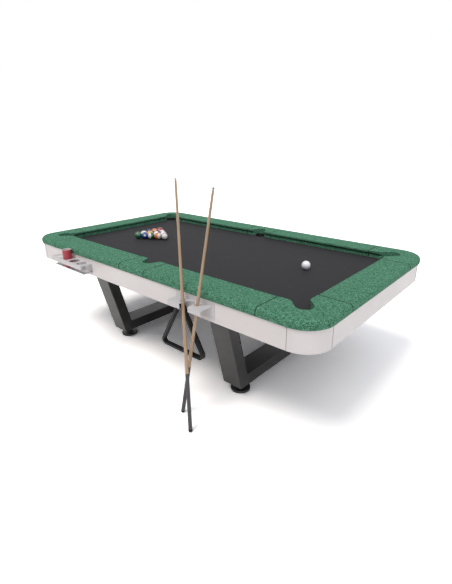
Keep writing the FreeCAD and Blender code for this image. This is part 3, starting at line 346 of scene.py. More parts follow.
def laminate(board):
    """Compact laminate, pressed in layers of resin and paper with a fine matt grain: a flat dark
    grey, with faint lighter scuffs where balls have run."""
    material, tree, shader, place = new_material("compact laminate board", board.face, 0.75,
                                                 Specular_IOR_Level=0.15)
    drawn = add_node(tree, "ShaderNodeMapping", {"Vector": place, "Scale": (1, 6, 1)})
    runs = add_node(tree, "ShaderNodeTexNoise",
                    {"Vector": drawn, "Scale": 1 / (90 * MM), "Detail": 6})
    scuffs = add_node(tree, "ShaderNodeMapRange",
                      {"Value": runs, "From Min": 0.62, "From Max": 0.85})
    # The real grain is under half a millimetre, drawn coarser so that it shows.
    fibres = add_node(tree, "ShaderNodeTexNoise", {"Vector": place, "Scale": 1 / (1.5 * MM)})
    specks = add_node(tree, "ShaderNodeMapRange",
                      {"Value": fibres, "From Min": 0.35, "From Max": 0.75})
    fine = add_node(tree, "ShaderNodeMix",
                    {0: specks, 6: toned(board.face, 0.94), 7: board.face}, data_type="RGBA")
    marked = add_node(tree, "ShaderNodeMix", {0: scuffs, 6: fine, 7: board.scuff},
                      data_type="RGBA")
    gloss = add_node(tree, "ShaderNodeMapRange",
                     {"Value": scuffs, "To Min": 0.75, "To Max": 0.62})
    raised = add_node(tree, "ShaderNodeBump", {"Height": specks, "Distance": 0.03 * MM})
    fill(shader, {"Base Color": marked, "Roughness": gloss, "Normal": raised})
    return material


def moulded_plastic(name, base, roughness, grain, **sockets):
    """Injection moulded plastic: one colour through and through, a fine spark-eroded grain and
    a soft gloss that dulls a little in patches."""
    # The real grain is a few tenths of a millimetre, and is given coarser so that it shows.
    return weathered(name, base, toned(base, 0.88), roughness, lumps=(40 * MM, 4, 0.3, 0.7),
                     relief=(grain, 2, 0.04 * MM), gloss=(roughness - 0.05, roughness + 0.08),
                     **sockets)


def mill_aluminium(coat):
    """Extruded aluminium as it leaves the die: a soft silver sheen with fine die lines along
    the bar and a dull oxide bloom."""
    # Real die lines are a few tenths of a millimetre apart, drawn coarser so that they show.
    return weathered("extruded aluminium", coat.aluminium, toned(coat.aluminium, 0.8), 0.42,
                     lumps=(120 * MM, 5, 0.4, 0.75), relief=(1.2 * MM, 3, 0.03 * MM),
                     gloss=(0.38, 0.55), squeeze=(0.02, 0.02, 1), metallic=1)


def zinc_plate(coat):
    """Steel with bright zinc plating: a cool silver, mottled by the passivation, with small
    dull spots."""
    warm = (coat.zinc[0], 0.96 * coat.zinc[1], 0.86 * coat.zinc[2])
    return weathered("zinc plated steel", coat.zinc, warm, 0.35, lumps=(8 * MM, 4, 0.3, 0.7),
                     relief=(0.8 * MM, 2, 0.02 * MM), gloss=(0.28, 0.48), metallic=1)


def painted_iron(coat):
    """Cast iron under black enamel: a deep black with a satin gloss over the sand grain of
    the casting."""
    return weathered("enamelled cast iron", coat.iron, toned(coat.iron, 2.2), 0.38,
                     lumps=(25 * MM, 5, 0.45, 0.8), relief=(1.2 * MM, 3, 0.12 * MM),
                     gloss=(0.34, 0.6))


def blackened_steel(base):
    """Turned steel with a black oxide finish: a dark metal with a dull oily sheen, brighter
    where it has been handled."""
    # Real tool marks are a tenth of a millimetre apart, drawn coarser so that they show.
    return weathered("black oxide steel", base, toned(base, 1.6), 0.42,
                     lumps=(12 * MM, 4, 0.45, 0.75), relief=(0.7 * MM, 2, 0.02 * MM),
                     gloss=(0.48, 0.34), metallic=1)


def matt_rubber(base):
    """Moulded black rubber: dull, with a fine stipple and greyer where it scuffs the floor."""
    return weathered("moulded rubber", base, toned(base, 1.8), 0.75,
                     lumps=(6 * MM, 4, 0.5, 0.75), relief=(0.6 * MM, 2, 0.06 * MM),
                     Specular_IOR_Level=0.3)


def pressed_leather(name, base):
    """Layered pigskin, pressed and glued: matt, with fibres and a bloom of chalk."""
    # Real fibres are a tenth of a millimetre across, drawn coarser so that they show.
    return weathered(name, base, toned(base, 1.25), 0.85, lumps=(0.9 * MM, 4, 0.35, 0.7),
                     relief=(0.9 * MM, 4, 0.15 * MM), Specular_IOR_Level=0.2)


def wrapped_sleeve(cue):
    """A heat-shrunk rubberised sleeve on the butt: matt dark grey with a fine crosswise knurl
    that catches the light."""
    # A real knurl is about a millimetre wide, drawn a little coarser so that it shows.
    return weathered("rubberised sleeve", cue.sleeve, toned(cue.sleeve, 0.78), 0.62,
                     lumps=(45 * MM, 4, 0.3, 0.7), relief=(1.5 * MM, 2, 0.15 * MM),
                     squeeze=(0.5, 0.5, 1), own=True)


def lacquered_maple(cue):
    """Maple turned on a lathe and lacquered: pale honey wood with fine darker lines along the
    shaft, under a thin clear gloss."""
    material, tree, shader, own = new_material("lacquered maple", cue.wood, 0.34, own=True,
                                               Coat_Weight=0.35, Coat_Roughness=0.15)
    drawn = add_node(tree, "ShaderNodeMapping", {"Vector": own, "Scale": (1, 1, 0.02)})
    lines = add_node(tree, "ShaderNodeTexNoise",
                     {"Vector": drawn, "Scale": 1 / (1.4 * MM), "Detail": 4})
    dark = add_node(tree, "ShaderNodeMapRange",
                    {"Value": lines, "From Min": 0.4, "From Max": 0.72})
    fine = add_node(tree, "ShaderNodeMix", {0: dark, 6: cue.wood, 7: cue.grain},
                    data_type="RGBA")
    clouds = add_node(tree, "ShaderNodeTexNoise",
                      {"Vector": own, "Scale": 1 / (160 * MM), "Detail": 3})
    pale = add_node(tree, "ShaderNodeMapRange", {
        "Value": clouds, "From Min": 0.35, "From Max": 0.7, "To Max": 0.45})
    both = add_node(tree, "ShaderNodeMix", {0: pale, 6: fine, 7: toned(cue.wood, 1.15)},
                    data_type="RGBA")
    raised = add_node(tree, "ShaderNodeBump", {"Height": lines, "Distance": 0.02 * MM})
    fill(shader, {"Base Color": both, "Normal": raised})
    return material


def phenolic_resin(ball):
    """Cast phenolic resin, ground round and polished: a deep even colour with a hard glassy
    gloss. Each ball's colour, stripe and white spot run through the resin."""
    material, tree, shader, own = new_material("polished phenolic resin", ball.white, 0.08,
                                               own=True, IOR=1.6, Coat_Weight=0.2)
    dye = add_node(tree, "ShaderNodeAttribute", attribute_name="dye").outputs["Color"]
    striped = add_node(tree, "ShaderNodeAttribute", attribute_name="striped").outputs["Fac"]
    parts = add_node(tree, "ShaderNodeSeparateXYZ", {"Vector": own})
    side = add_node(tree, "ShaderNodeMath", {0: parts.outputs["X"]}, operation="ABSOLUTE")
    height = add_node(tree, "ShaderNodeMath", {0: parts.outputs["Z"]}, operation="ABSOLUTE")
    spot_edge = math.sqrt(BALL_RADIUS ** 2 - ball.spot ** 2)
    soft = 0.1 * MM
    spot = add_node(tree, "ShaderNodeMapRange", {
        "Value": side, "From Min": spot_edge - soft, "From Max": spot_edge + soft})
    cap = add_node(tree, "ShaderNodeMapRange", {
        "Value": height, "From Min": ball.stripe - soft, "From Max": ball.stripe + soft})
    bare_cap = add_node(tree, "ShaderNodeMath", {0: cap, 1: striped}, operation="MULTIPLY")
    bare = add_node(tree, "ShaderNodeMath", {0: spot, 1: bare_cap}, operation="MAXIMUM")
    clouds = add_node(tree, "ShaderNodeTexNoise",
                      {"Vector": own, "Scale": 1 / (9 * MM), "Detail": 3})
    cloudy = add_node(tree, "ShaderNodeMapRange",
                      {"Value": clouds, "From Min": 0.3, "From Max": 0.7})
    white = add_node(tree, "ShaderNodeMix", {0: cloudy, 6: ball.white, 7: toned(ball.white, 0.94)},
                     data_type="RGBA")
    tint = add_node(tree, "ShaderNodeMix", {0: bare, 6: dye, 7: white}, data_type="RGBA")
    smears = add_node(tree, "ShaderNodeTexNoise",
                      {"Vector": own, "Scale": 1 / (14 * MM), "Detail": 5})
    gloss = add_node(tree, "ShaderNodeMapRange", {
        "Value": smears, "From Min": 0.35, "From Max": 0.75, "To Min": 0.05, "To Max": 0.16})
    fill(shader, {"Base Color": tint, "Roughness": gloss})
    return material


def plain_resin(name, base):
    """Cast phenolic resin in one colour, ground and polished: the same hard gloss, dulled in
    places by chalk and handling."""
    material, tree, shader, place = new_material(name, base, 0.1, IOR=1.6, Coat_Weight=0.2)
    clouds = add_node(tree, "ShaderNodeTexNoise",
                      {"Vector": place, "Scale": 1 / (12 * MM), "Detail": 4})
    cloudy = add_node(tree, "ShaderNodeMapRange",
                      {"Value": clouds, "From Min": 0.3, "From Max": 0.7})
    tint = add_node(tree, "ShaderNodeMix", {0: cloudy, 6: base, 7: toned(base, 0.95)},
                    data_type="RGBA")
    gloss = add_node(tree, "ShaderNodeMapRange", {
        "Value": clouds, "From Min": 0.3, "From Max": 0.8, "To Min": 0.06, "To Max": 0.2})
    fill(shader, {"Base Color": tint, "Roughness": gloss})
    return material


def finish_nodes(material, *labels):
    """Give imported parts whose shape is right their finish."""
    for label in labels:
        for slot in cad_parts[label].material_slots:
            slot.material = material


def labels_with(start):
    """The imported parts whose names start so."""
    found = [label for label in sorted(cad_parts) if label.startswith(start)]
    if not found:
        raise ValueError(f"no part's name starts with {start}")
    return found


def add_piece(name, mesh, body, slot, *stands_for):
    """Link a finished mesh and say which body carries it and which parts it stands for."""
    piece = bpy.data.objects.new(name, mesh)
    bpy.context.scene.collection.objects.link(piece)
    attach(piece, body)
    if stands_for:
        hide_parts(*stands_for)
    return piece


def arc(middle, radius, start, end, steps):
    """Points of a round stretch in an outline, angles in degrees."""
    turns = [math.radians(start + (end - start) * step / steps) for step in range(steps + 1)]
    return [(middle[0] + radius * math.cos(turn), middle[1] + radius * math.sin(turn))
            for turn in turns]


def turned(outline, segments, paints=None):
    """Turn an outline of (radius, height) about Z. It runs up the outside, so that the faces
    point outwards. paints gives each stretch of the outline its material."""
    shape = bmesh.new()
    rings = []
    for radius, height in outline:
        if radius < SAME_PLACE:
            rings.append([shape.verts.new((0, 0, height))])
            continue
        turns = [math.tau * step / segments for step in range(segments)]
        rings.append([shape.verts.new((radius * math.cos(turn), radius * math.sin(turn), height))
                      for turn in turns])
    for index, (lower, upper) in enumerate(zip(rings, rings[1:])):
        for step in range(segments):
            after = (step + 1) % segments
            corners = [lower[step % len(lower)], lower[after % len(lower)],
                       upper[after % len(upper)], upper[step % len(upper)]]
            corners = list(dict.fromkeys(corners))
            if len(corners) > 2:
                face = shape.faces.new(corners)
                face.smooth = True
                face.material_index = paints[index] if paints else 0
    return shape


def mesh_from(shape, name, materials, keep_place=False, keep_sharp=False):
    """Close a bmesh into a mesh, with sharp edges where it turns sharply or with those that it
    already has. keep_place stores where each point lies before the piece is put in place."""
    mesh = bpy.data.meshes.new(name)
    shape.to_mesh(mesh)
    shape.free()
    for material in materials:
        mesh.materials.append(material)
    if not keep_sharp:
        mesh.set_sharp_from_angle(angle=SHARP_ANGLE)
    if keep_place:
        own = mesh.attributes.new("own_place", "FLOAT_VECTOR", "POINT")
        own.data.foreach_set("vector", [level for vert in mesh.vertices for level in vert.co])
    return mesh


def merged(label):
    """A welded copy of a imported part's mesh, its flat faces whole."""
    shape = bmesh.new()
    shape.from_mesh(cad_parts[label].data)
    bmesh.ops.remove_doubles(shape, verts=shape.verts, dist=0.002 * MM)
    bmesh.ops.dissolve_limit(shape, angle_limit=math.radians(0.5), verts=shape.verts,
                             edges=shape.edges)
    shape.normal_update()
    return shape


def eased(label, *rounds):
    """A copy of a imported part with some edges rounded. Each round has a test for its edges, a
    width and the slot of the faces that it makes."""
    shape = merged(label)
    for face in shape.faces:
        face.material_index = 0
    for chosen, width, slot in rounds:
        edges = [edge for edge in shape.edges if len(edge.link_faces) == 2 and chosen(edge)]
        bmesh.ops.bevel(shape, geom=edges, offset=width, offset_type="OFFSET", segments=3,
                        profile=0.5, affect="EDGES", clamp_overlap=True,
                        material=slot + ROUNDED)
        shape.normal_update()
    for face in shape.faces:
        face.smooth = True
    for edge in shape.edges:
        # Flat faces keep their own shading where a rounded edge begins.
        kinds = {face.material_index >= ROUNDED for face in edge.link_faces}
        edge.smooth = len(kinds) == 1 and edge.calc_face_angle(0) < SHARP_ANGLE
    for face in shape.faces:
        face.material_index %= ROUNDED
    bmesh.ops.triangulate(shape, faces=shape.faces)
    return shape


def is_square_corner(edge):
    """True for an outward edge of 60 degrees or more."""
    return edge.is_convex and edge.calc_face_angle(0) > math.radians(60)


def is_upright_corner(edge):
    """True for such an edge that stands upright."""
    first, second = (vert.co for vert in edge.verts)
    return is_square_corner(edge) and abs(first.z - second.z) > 0.9 * edge.calc_length()


def round_ends(label):
    """Middle and radius of the lower and of the upper end of a slender tapered part."""
    shape = merged(label)
    places = [vert.co.copy() for vert in shape.verts]
    shape.free()
    level = sum(place.z for place in places) / len(places)
    below = [place for place in places if place.z < level]
    above = [place for place in places if place.z >= level]
    line = (sum(above, Vector()) / len(above) - sum(below, Vector()) / len(below)).normalized()
    lengths = [place.dot(line) for place in places]
    ends = []
    for limit in (min(lengths), max(lengths)):
        # A point within half a millimetre of the end belongs to its rim.
        ring = [place for place, along in zip(places, lengths) if abs(along - limit) < 0.5 * MM]
        middle = sum(ring, Vector()) / len(ring)
        ends.append((middle, max((place - middle).length for place in ring)))
    return ends


def islands(label):
    """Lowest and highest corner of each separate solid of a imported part."""
    shape = bmesh.new()
    shape.from_mesh(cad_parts[label].data)
    bmesh.ops.remove_doubles(shape, verts=shape.verts, dist=SAME_PLACE)
    left = set(shape.verts)
    boxes = []
    while left:
        group = {left.pop()}
        edge_of_group = set(group)
        while edge_of_group:
            near = {edge.other_vert(vert) for vert in edge_of_group for edge in vert.link_edges}
            edge_of_group = near - group
            group |= edge_of_group
        left -= group
        places = [vert.co for vert in group]
        boxes.append(tuple(Vector([pick(co[axis] for co in places) for axis in range(3)])
                           for pick in (min, max)))
    shape.free()
    return boxes


def new_tree(name, inputs):
    """A Geometry Nodes tree with named inputs."""
    tree = bpy.data.node_groups.new(name, "GeometryNodeTree")
    tree.interface.new_socket("Geometry", in_out="INPUT", socket_type="NodeSocketGeometry")
    for title, kind in inputs:
        tree.interface.new_socket(title, in_out="INPUT", socket_type=kind)
    tree.interface.new_socket("Geometry", in_out="OUTPUT", socket_type="NodeSocketGeometry")
    return tree, add_node(tree, "NodeGroupInput").outputs


def end_tree(tree, shapes, material):
    """Turn a tree's instances into real geometry with one material."""
    real = add_node(tree, "GeometryNodeRealizeInstances", {"Geometry": shapes})
    painted = add_node(tree, "GeometryNodeSetMaterial", {"Geometry": real, "Material": material})
    add_node(tree, "NodeGroupOutput", {"Geometry": painted})


def grown(name, points, tree, values):
    """Run a node tree on some points and keep what it makes as a plain mesh."""
    base = bpy.data.meshes.new(f"{name} points")
    base.from_pydata(points, [], [])
    holder = bpy.data.objects.new(f"{name} holder", base)
    bpy.context.scene.collection.objects.link(holder)
    modifier = holder.modifiers.new("Nodes", "NODES")
    modifier.node_group = tree
    for item in tree.interface.items_tree:
        if item.in_out == "INPUT" and item.name in values:
            modifier[item.identifier] = values[item.name]
    graph = bpy.context.evaluated_depsgraph_get()
    mesh = bpy.data.meshes.new_from_object(holder.evaluated_get(graph), depsgraph=graph)
    mesh.name = name
    bpy.data.objects.remove(holder)
    bpy.data.meshes.remove(base)
    if not mesh.polygons:
        raise ValueError(f"{name} came out empty")
    return mesh


def joined(name, *meshes):
    """One mesh out of several, with the materials of each."""
    shape = bmesh.new()
    materials = []
    for mesh in meshes:
        first = len(shape.faces)
        shape.from_mesh(mesh)
        shape.faces.ensure_lookup_table()
        places = []
        for material in mesh.materials:
            if material not in materials:
                materials.append(material)
            places.append(materials.index(material))
        for face in shape.faces[first:]:
            face.material_index = places[face.material_index]
    whole = bpy.data.meshes.new(name)
    shape.to_mesh(whole)
    shape.free()
    for material in materials:
        whole.materials.append(material)
    whole.set_sharp_from_angle(angle=SHARP_ANGLE)
    for mesh in meshes:
        bpy.data.meshes.remove(mesh)
    return whole


class TABLE_OT_board(bpy.types.Operator):
    """Finish the playing board and the pocket cups"""
    bl_idname = "billiard.board"
    bl_label = "Board and pockets"

    def execute(self, context):
        board = context.scene.billiard.board
        finish_nodes(laminate(board), "bed_slab")
        cups = moulded_plastic("moulded polythene", board.cup, roughness=0.5, grain=1.5 * MM)
        finish_nodes(cups, *labels_with("pocket_cup"))
        return {"FINISHED"}


class TABLE_OT_rails(bpy.types.Operator):
    """Finish the cushion rails"""
    bl_idname = "billiard.rails"
    bl_label = "Rails"

    def execute(self, context):
        rail = context.scene.billiard.rail
        rubber = bonded_rubber("bonded rubber granules", rail, light=1)
        # The copy at 0.12 of the brightness is painted shade on the rounded edges where two rail
        # pieces meet.
        pressed = bonded_rubber("pressed edge of bonded rubber", rail, light=0.12)
        for label in labels_with("rail_"):
            ends = self.seams(label)
            shape = eased(label, (lambda edge: self.at_seam(edge, ends), rail.edge, 1))
            mesh = mesh_from(shape, f"{label}_made", (rubber, pressed), keep_sharp=True)
            add_piece(f"{label}_made", mesh, "table", "rail_rubber", label)
        return {"FINISHED"}

    def seams(self, label):
        """Axis and place of the planes in which a piece of rail meets its neighbours."""
        low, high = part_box(label)
        if label.startswith("rail_corner"):
            inner = [min((low[axis], high[axis]), key=lambda level: abs(level - MIDDLE[axis]))
                     for axis in (0, 1)]
            return [(0, inner[0]), (1, inner[1])]
        axis = 1 if label.startswith("rail_end") else 0
        return [(axis, low[axis]), (axis, high[axis])]

    def at_seam(self, edge, ends):
        """True for an edge between an end face and the outside of the rail."""
        flat = [any(abs(face.normal[axis]) > 0.99
                    and abs(face.calc_center_median()[axis] - level) < 0.1 * MM
                    for axis, level in ends) for face in edge.link_faces]
        return flat[0] != flat[1]


class TABLE_OT_metalwork(bpy.types.Operator):
    """Finish the apron, the shelves, the leg frames and the frame under the board"""
    bl_idname = "billiard.metalwork"
    bl_label = "Metalwork"

    def execute(self, context):
        coat = context.scene.billiard.coat
        apron = powder_coat("white powder coat", coat.apron, coat.grain, roughness=0.42)
        panels = [label for label in labels_with("apron_") if label != "apron_brackets"]
        shelf = powder_coat("white powder coat on shelves", coat.shelf, coat.grain,
                            roughness=0.3)
        # Painted shade in the apron's seams and along the cue rest's back plate.
        seam = powder_coat("white powder coat in the seams", coat.seam_shade, coat.grain,
                           roughness=0.6)
        # Painted highlight on the shelves' folds.
        bright = powder_coat("white powder coat on folds", coat.bright, coat.grain,
                             roughness=0.3)
        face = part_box("apron_near")[0].y
        # The finishes are those of the sheet's faces, its seams and its folds. The seams' finish
        # is painted shade in the gaps between apron panels and along the cue rest's back plate,
        # and the shelves' folds get a painted highlight.
        for finishes, slot, fold, at_seam, labels in (
                ((apron, seam, apron), "apron_white", coat.fold, is_upright_corner, panels),
                ((shelf, seam, bright), "shelf_white", coat.shelf_fold,
                 lambda edge: self.on_apron(edge, face), ("cue_rest",)),
                ((shelf, seam, bright), "shelf_white", coat.shelf_fold, None, ("cup_shelf",))):
            for label in labels:
                rounds = [(at_seam, coat.seam, 1)] if at_seam else []
                shape = eased(label, *rounds, (is_square_corner, fold, 2))
                mesh = mesh_from(shape, f"{label}_made", finishes, keep_sharp=True)
                add_piece(f"{label}_made", mesh, "table", slot, label)
        finish_nodes(shelf, "rack_peg")
        leg = powder_coat("anthracite powder coat", coat.leg, coat.grain, roughness=0.33,
                          Specular_IOR_Level=0.42)
        finish_nodes(leg, *labels_with("leg_beam"), *labels_with("leg_post"))
        bars = labels_with("cross_member") + labels_with("end_frame") + labels_with("stringer")
        finish_nodes(mill_aluminium(coat), *bars)
        finish_nodes(zinc_plate(coat), "apron_brackets")
        return {"FINISHED"}

    def on_apron(self, edge, face):
        """True for an upright edge that is less than 5 mm in front of the apron's near face."""
        return is_upright_corner(edge) and min(vert.co.y for vert in edge.verts) > face - 5 * MM


class TABLE_OT_fasteners(bpy.types.Operator):
    """Make the bolts under the table and the screws of the shelves"""
    bl_idname = "billiard.fasteners"
    bl_label = "Fasteners"

    def execute(self, context):
        zinc = bpy.data.materials["zinc plated steel"]
        tree, given = new_tree("fasteners in their holes", (
            ("Fastener", "NodeSocketObject"), ("Turn", "NodeSocketRotation"),
            ("Finish", "NodeSocketMaterial")))
        model = add_node(tree, "GeometryNodeObjectInfo", {"Object": given["Fastener"]})
        points = add_node(tree, "GeometryNodeMeshToPoints", {"Mesh": given["Geometry"]})
        copies = add_node(tree, "GeometryNodeInstanceOnPoints", {
            "Points": points, "Instance": model.outputs["Geometry"], "Rotation": given["Turn"]})
        end_tree(tree, copies, given["Finish"])
        # The heads of the bolts point down, those of the screws out of the apron.
        turns = (("leg_bolts", 2, (0, 0, 0)), ("slab_bolts", 2, (0, 0, 0)),
                 ("shelf_screws", 1, (-math.pi / 2, 0, 0)))
        for label, along, turn in turns:
            solids = islands(label)
            low, high = solids[0]
            size = high - low
            head = sorted(size)[1] / 2
            model_object = self.fastener(label, head, size[along])
            places = []
            for low, high in solids:
                place = (low + high) / 2
                place[along] = low[along]
                places.append(tuple(place))
            mesh = grown(f"{label}_made", places, tree,
                         {"Fastener": model_object, "Turn": turn, "Finish": zinc})
            add_piece(f"{label}_made", mesh, "table", "zinc_steel", label)
            bpy.data.objects.remove(model_object)
        return {"FINISHED"}

    def fastener(self, label, head, whole):
        """A hexagon or button head with its shank, its head at the bottom."""
        shank = 0.55 * head
        if label == "shelf_screws":
            rise = 0.5 * head
            dome = [(0, 0), (0.55 * head, 0.04 * head), (0.85 * head, 0.2 * head), (head, rise)]
            shape = turned(dome + [(shank, rise), (shank, whole), (0, whole)], segments=24)
        else:
            rise = 0.78 * head
            hexagon = [(0, 0), (0.8 * head, 0), (head, 0.14 * head), (head, rise)]
            shape = turned(hexagon, segments=6)
            shaft = turned([(head, rise), (shank, rise), (shank, whole), (0, whole)], segments=24)
            mesh = bpy.data.meshes.new("shank")
            shaft.to_mesh(mesh)
            shaft.free()
            shape.from_mesh(mesh)
            bpy.data.meshes.remove(mesh)
        mesh = mesh_from(shape, f"{label} model", ())
        model = bpy.data.objects.new(f"{label}_model", mesh)
        bpy.context.scene.collection.objects.link(model)
        return model


class TABLE_OT_feet(bpy.types.Operator):
    """Make the four levelling feet with their threaded stems"""
    bl_idname = "billiard.feet"
    bl_label = "Feet"

    def execute(self, context):
        settings = context.scene.billiard.foot
        iron = painted_iron(context.scene.billiard.coat)
        steel = blackened_steel(settings.steel)
        core = settings.stem - settings.thread
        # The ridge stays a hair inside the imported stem.
        depth = 0.98 * settings.thread
        thread_start = 32 * MM
        thread_spare = 3 * MM
        tree = self.thread()
        for label in labels_with("foot_"):
            low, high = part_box(label)
            middle = (low + high) / 2 * Vector((1, 1, 0))
            meshes = []
            for name, outline, segments, finish in (
                    ("pad", self.pad_outline(), 72, iron),
                    ("stem", self.stem_outline(core, high.z), 32, steel),
                    ("nut", self.nut_outline(settings.nut), 6, steel)):
                shape = turned(outline, segments)
                shape.transform(Matrix.Translation(middle))
                meshes.append(mesh_from(shape, name, (finish,)))
            meshes.append(grown("thread", [tuple(middle + UP * thread_start)], tree, {
                "Radius": core, "Pitch": settings.pitch, "Depth": depth, "Finish": steel,
                "Height": high.z - thread_start - thread_spare}))
            mesh = joined(f"{label}_made", *meshes)
            add_piece(f"{label}_made", mesh, label, "foot_black", label)
        return {"FINISHED"}

    def pad_outline(self):
        """A round pad with a soft rim, a shallow step and a hub that takes the stem."""
        points = [(0, 0), (61, 0)] + arc((61, 4), 4, -90, 0, 5) + arc((60.5, 13.5), 4.5, 0, 90, 6)
        points += [(52, 18), (51, 17.2), (33, 17.2)] + arc((33, 20.2), 3, -90, -160, 4)
        points += [(29, 23.5), (15, 30.6)] + arc((14, 29.4), 1.6, 60, 90, 3) + [(0, 31)]
        return [(radius * MM, height * MM) for radius, height in points]

    def stem_outline(self, core, top):
        """The stem under its thread, from inside the hub to a chamfered top."""
        bottom = 30 * MM
        chamfer = 1.5 * MM
        return [(0, bottom), (core, bottom), (core, top - chamfer), (core - chamfer, top),
                (0, top)]

    def nut_outline(self, corner):
        """The lock nut, chamfered at both faces."""
        bottom = 53.7 * MM
        top = 65.7 * MM
        chamfer = 1.3 * MM
        face = corner - 2.5 * MM
        return [(0, bottom), (face, bottom), (corner, bottom + chamfer),
                (corner, top - chamfer), (face, top), (0, top)]

    def thread(self):
        """A tree that winds a ridge round the stem, pitch by pitch."""
        tree, given = new_tree("thread of a stem", (
            ("Radius", "NodeSocketFloat"), ("Pitch", "NodeSocketFloat"),
            ("Height", "NodeSocketFloat"), ("Depth", "NodeSocketFloat"),
            ("Finish", "NodeSocketMaterial")))
        turns = add_node(tree, "ShaderNodeMath", {0: given["Height"], 1: given["Pitch"]},
                         operation="DIVIDE")
        path = add_node(tree, "GeometryNodeCurveSpiral", {
            "Resolution": 24, "Rotations": turns, "Start Radius": given["Radius"],
            "End Radius": given["Radius"], "Height": given["Height"]})
        profile = add_node(tree, "GeometryNodeCurvePrimitiveCircle",
                           {"Resolution": 4, "Radius": given["Depth"]})
        ridge = add_node(tree, "GeometryNodeCurveToMesh",
                         {"Curve": path, "Profile Curve": profile, "Fill Caps": True})
        points = add_node(tree, "GeometryNodeMeshToPoints", {"Mesh": given["Geometry"]})
        placed = add_node(tree, "GeometryNodeInstanceOnPoints",
                          {"Points": points, "Instance": ridge})
        end_tree(tree, placed, given["Finish"])
        return tree


class TABLE_OT_cues(bpy.types.Operator):
    """Make both cues"""
    bl_idname = "billiard.cues"
    bl_label = "Cues"

    def execute(self, context):
        cue = context.scene.billiard.cue
        maple = lacquered_maple(cue)
        butt = (matt_rubber(cue.bumper), wrapped_sleeve(cue),
                moulded_plastic("black acetal ring", cue.ring, roughness=0.3, grain=1 * MM))
        ferrule = moulded_plastic("ferrule plastic", cue.ferrule, roughness=0.35, grain=1 * MM)
        for letter, hide in (("a", cue.leather_a), ("b", cue.leather_b)):
            leather = pressed_leather(f"pressed leather {letter}", hide)
            self.measure(letter)
            joint = self.low
            end = self.high
            for piece, outline, paints, materials, slot in (
                    ("sleeve", *self.sleeve_outline(), butt, "cue_grip"),
                    ("shaft", [(0, joint), (self.radius(joint), joint),
                               (self.radius(end), end), (0, end)], None, (maple,), "cue_wood"),
                    ("tip", *self.tip_outline(cue.tip), (ferrule, leather), "cue_leather")):
                shape = turned(outline, segments=40, paints=paints)
                mesh = mesh_from(shape, f"cue_{letter}_{piece}_made", materials, keep_place=True)
                mesh.transform(self.stand)
                add_piece(mesh.name, mesh, f"cue_{letter}", slot, f"cue_{letter}_{piece}")
        return {"FINISHED"}

    def measure(self, letter):
        """Read a cue's line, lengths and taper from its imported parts."""
        (low, low_radius), (high, high_radius) = round_ends(f"cue_{letter}_shaft")
        line = (high - low).normalized()
        below = merged(f"cue_{letter}_sleeve")
        self.low = -min((vert.co - low).dot(line) for vert in below.verts)
        below.free()
        above = merged(f"cue_{letter}_tip")
        self.whole = self.low + max((vert.co - low).dot(line) for vert in above.verts)
        above.free()
        self.high = self.low + (high - low).length
        self.taper = (low_radius - high_radius) / (high - low).length
        self.low_radius = low_radius
        turn = UP.rotation_difference(line).to_matrix().to_4x4()
        self.stand = Matrix.Translation(low - line * self.low) @ turn

    def radius(self, along):
        """Radius of the cue at a distance from its butt."""
        return self.low_radius + self.taper * (self.low - along)

    def sleeve_outline(self):
        """Rubber bumper, ring, wrapped sleeve and a closing ring, each parted by a fine groove."""
        rounding = 4 * MM
        bumper = 15 * MM
        ring = 4 * MM
        last_ring = 5 * MM
        groove = 0.4 * MM
        points = [(0, 0)]
        points += arc((self.radius(0) - rounding, rounding), rounding, -90, 0, 6)
        paints = [0] * (len(points) - 1)
        bands = ((bumper, 0), (bumper + ring, 2), (self.low - last_ring, 1), (self.low, 2))
        for top, paint in bands:
            radius = self.radius(top)
            points += [(radius, top - 0.5 * MM), (radius - groove, top - 0.3 * MM),
                       (radius - groove, top)]
            paints += [paint] * 3
            if top < self.low:
                points.append((radius, top + 0.2 * MM))
                paints.append(paint)
        points.append((0, self.low))
        paints.append(2)
        return points, paints

    def tip_outline(self, leather):
        """Ferrule, a fine glue line and the domed leather tip."""
        rounding = 4 * MM
        edge = self.whole - leather
        rim = self.radius(self.whole)
        points = [(0, self.high), (self.radius(self.high), self.high), (self.radius(edge), edge),
                  (self.radius(edge) - 0.25 * MM, edge + 0.1 * MM)]
        paints = [0] * (len(points) - 1)
        points.append((rim, edge + 0.35 * MM))
        points += arc((rim - rounding, self.whole - rounding), rounding, 0, 90, 6)
        points.append((0, self.whole))
        paints += [1] * (len(points) - 1 - len(paints))
        return points, paints


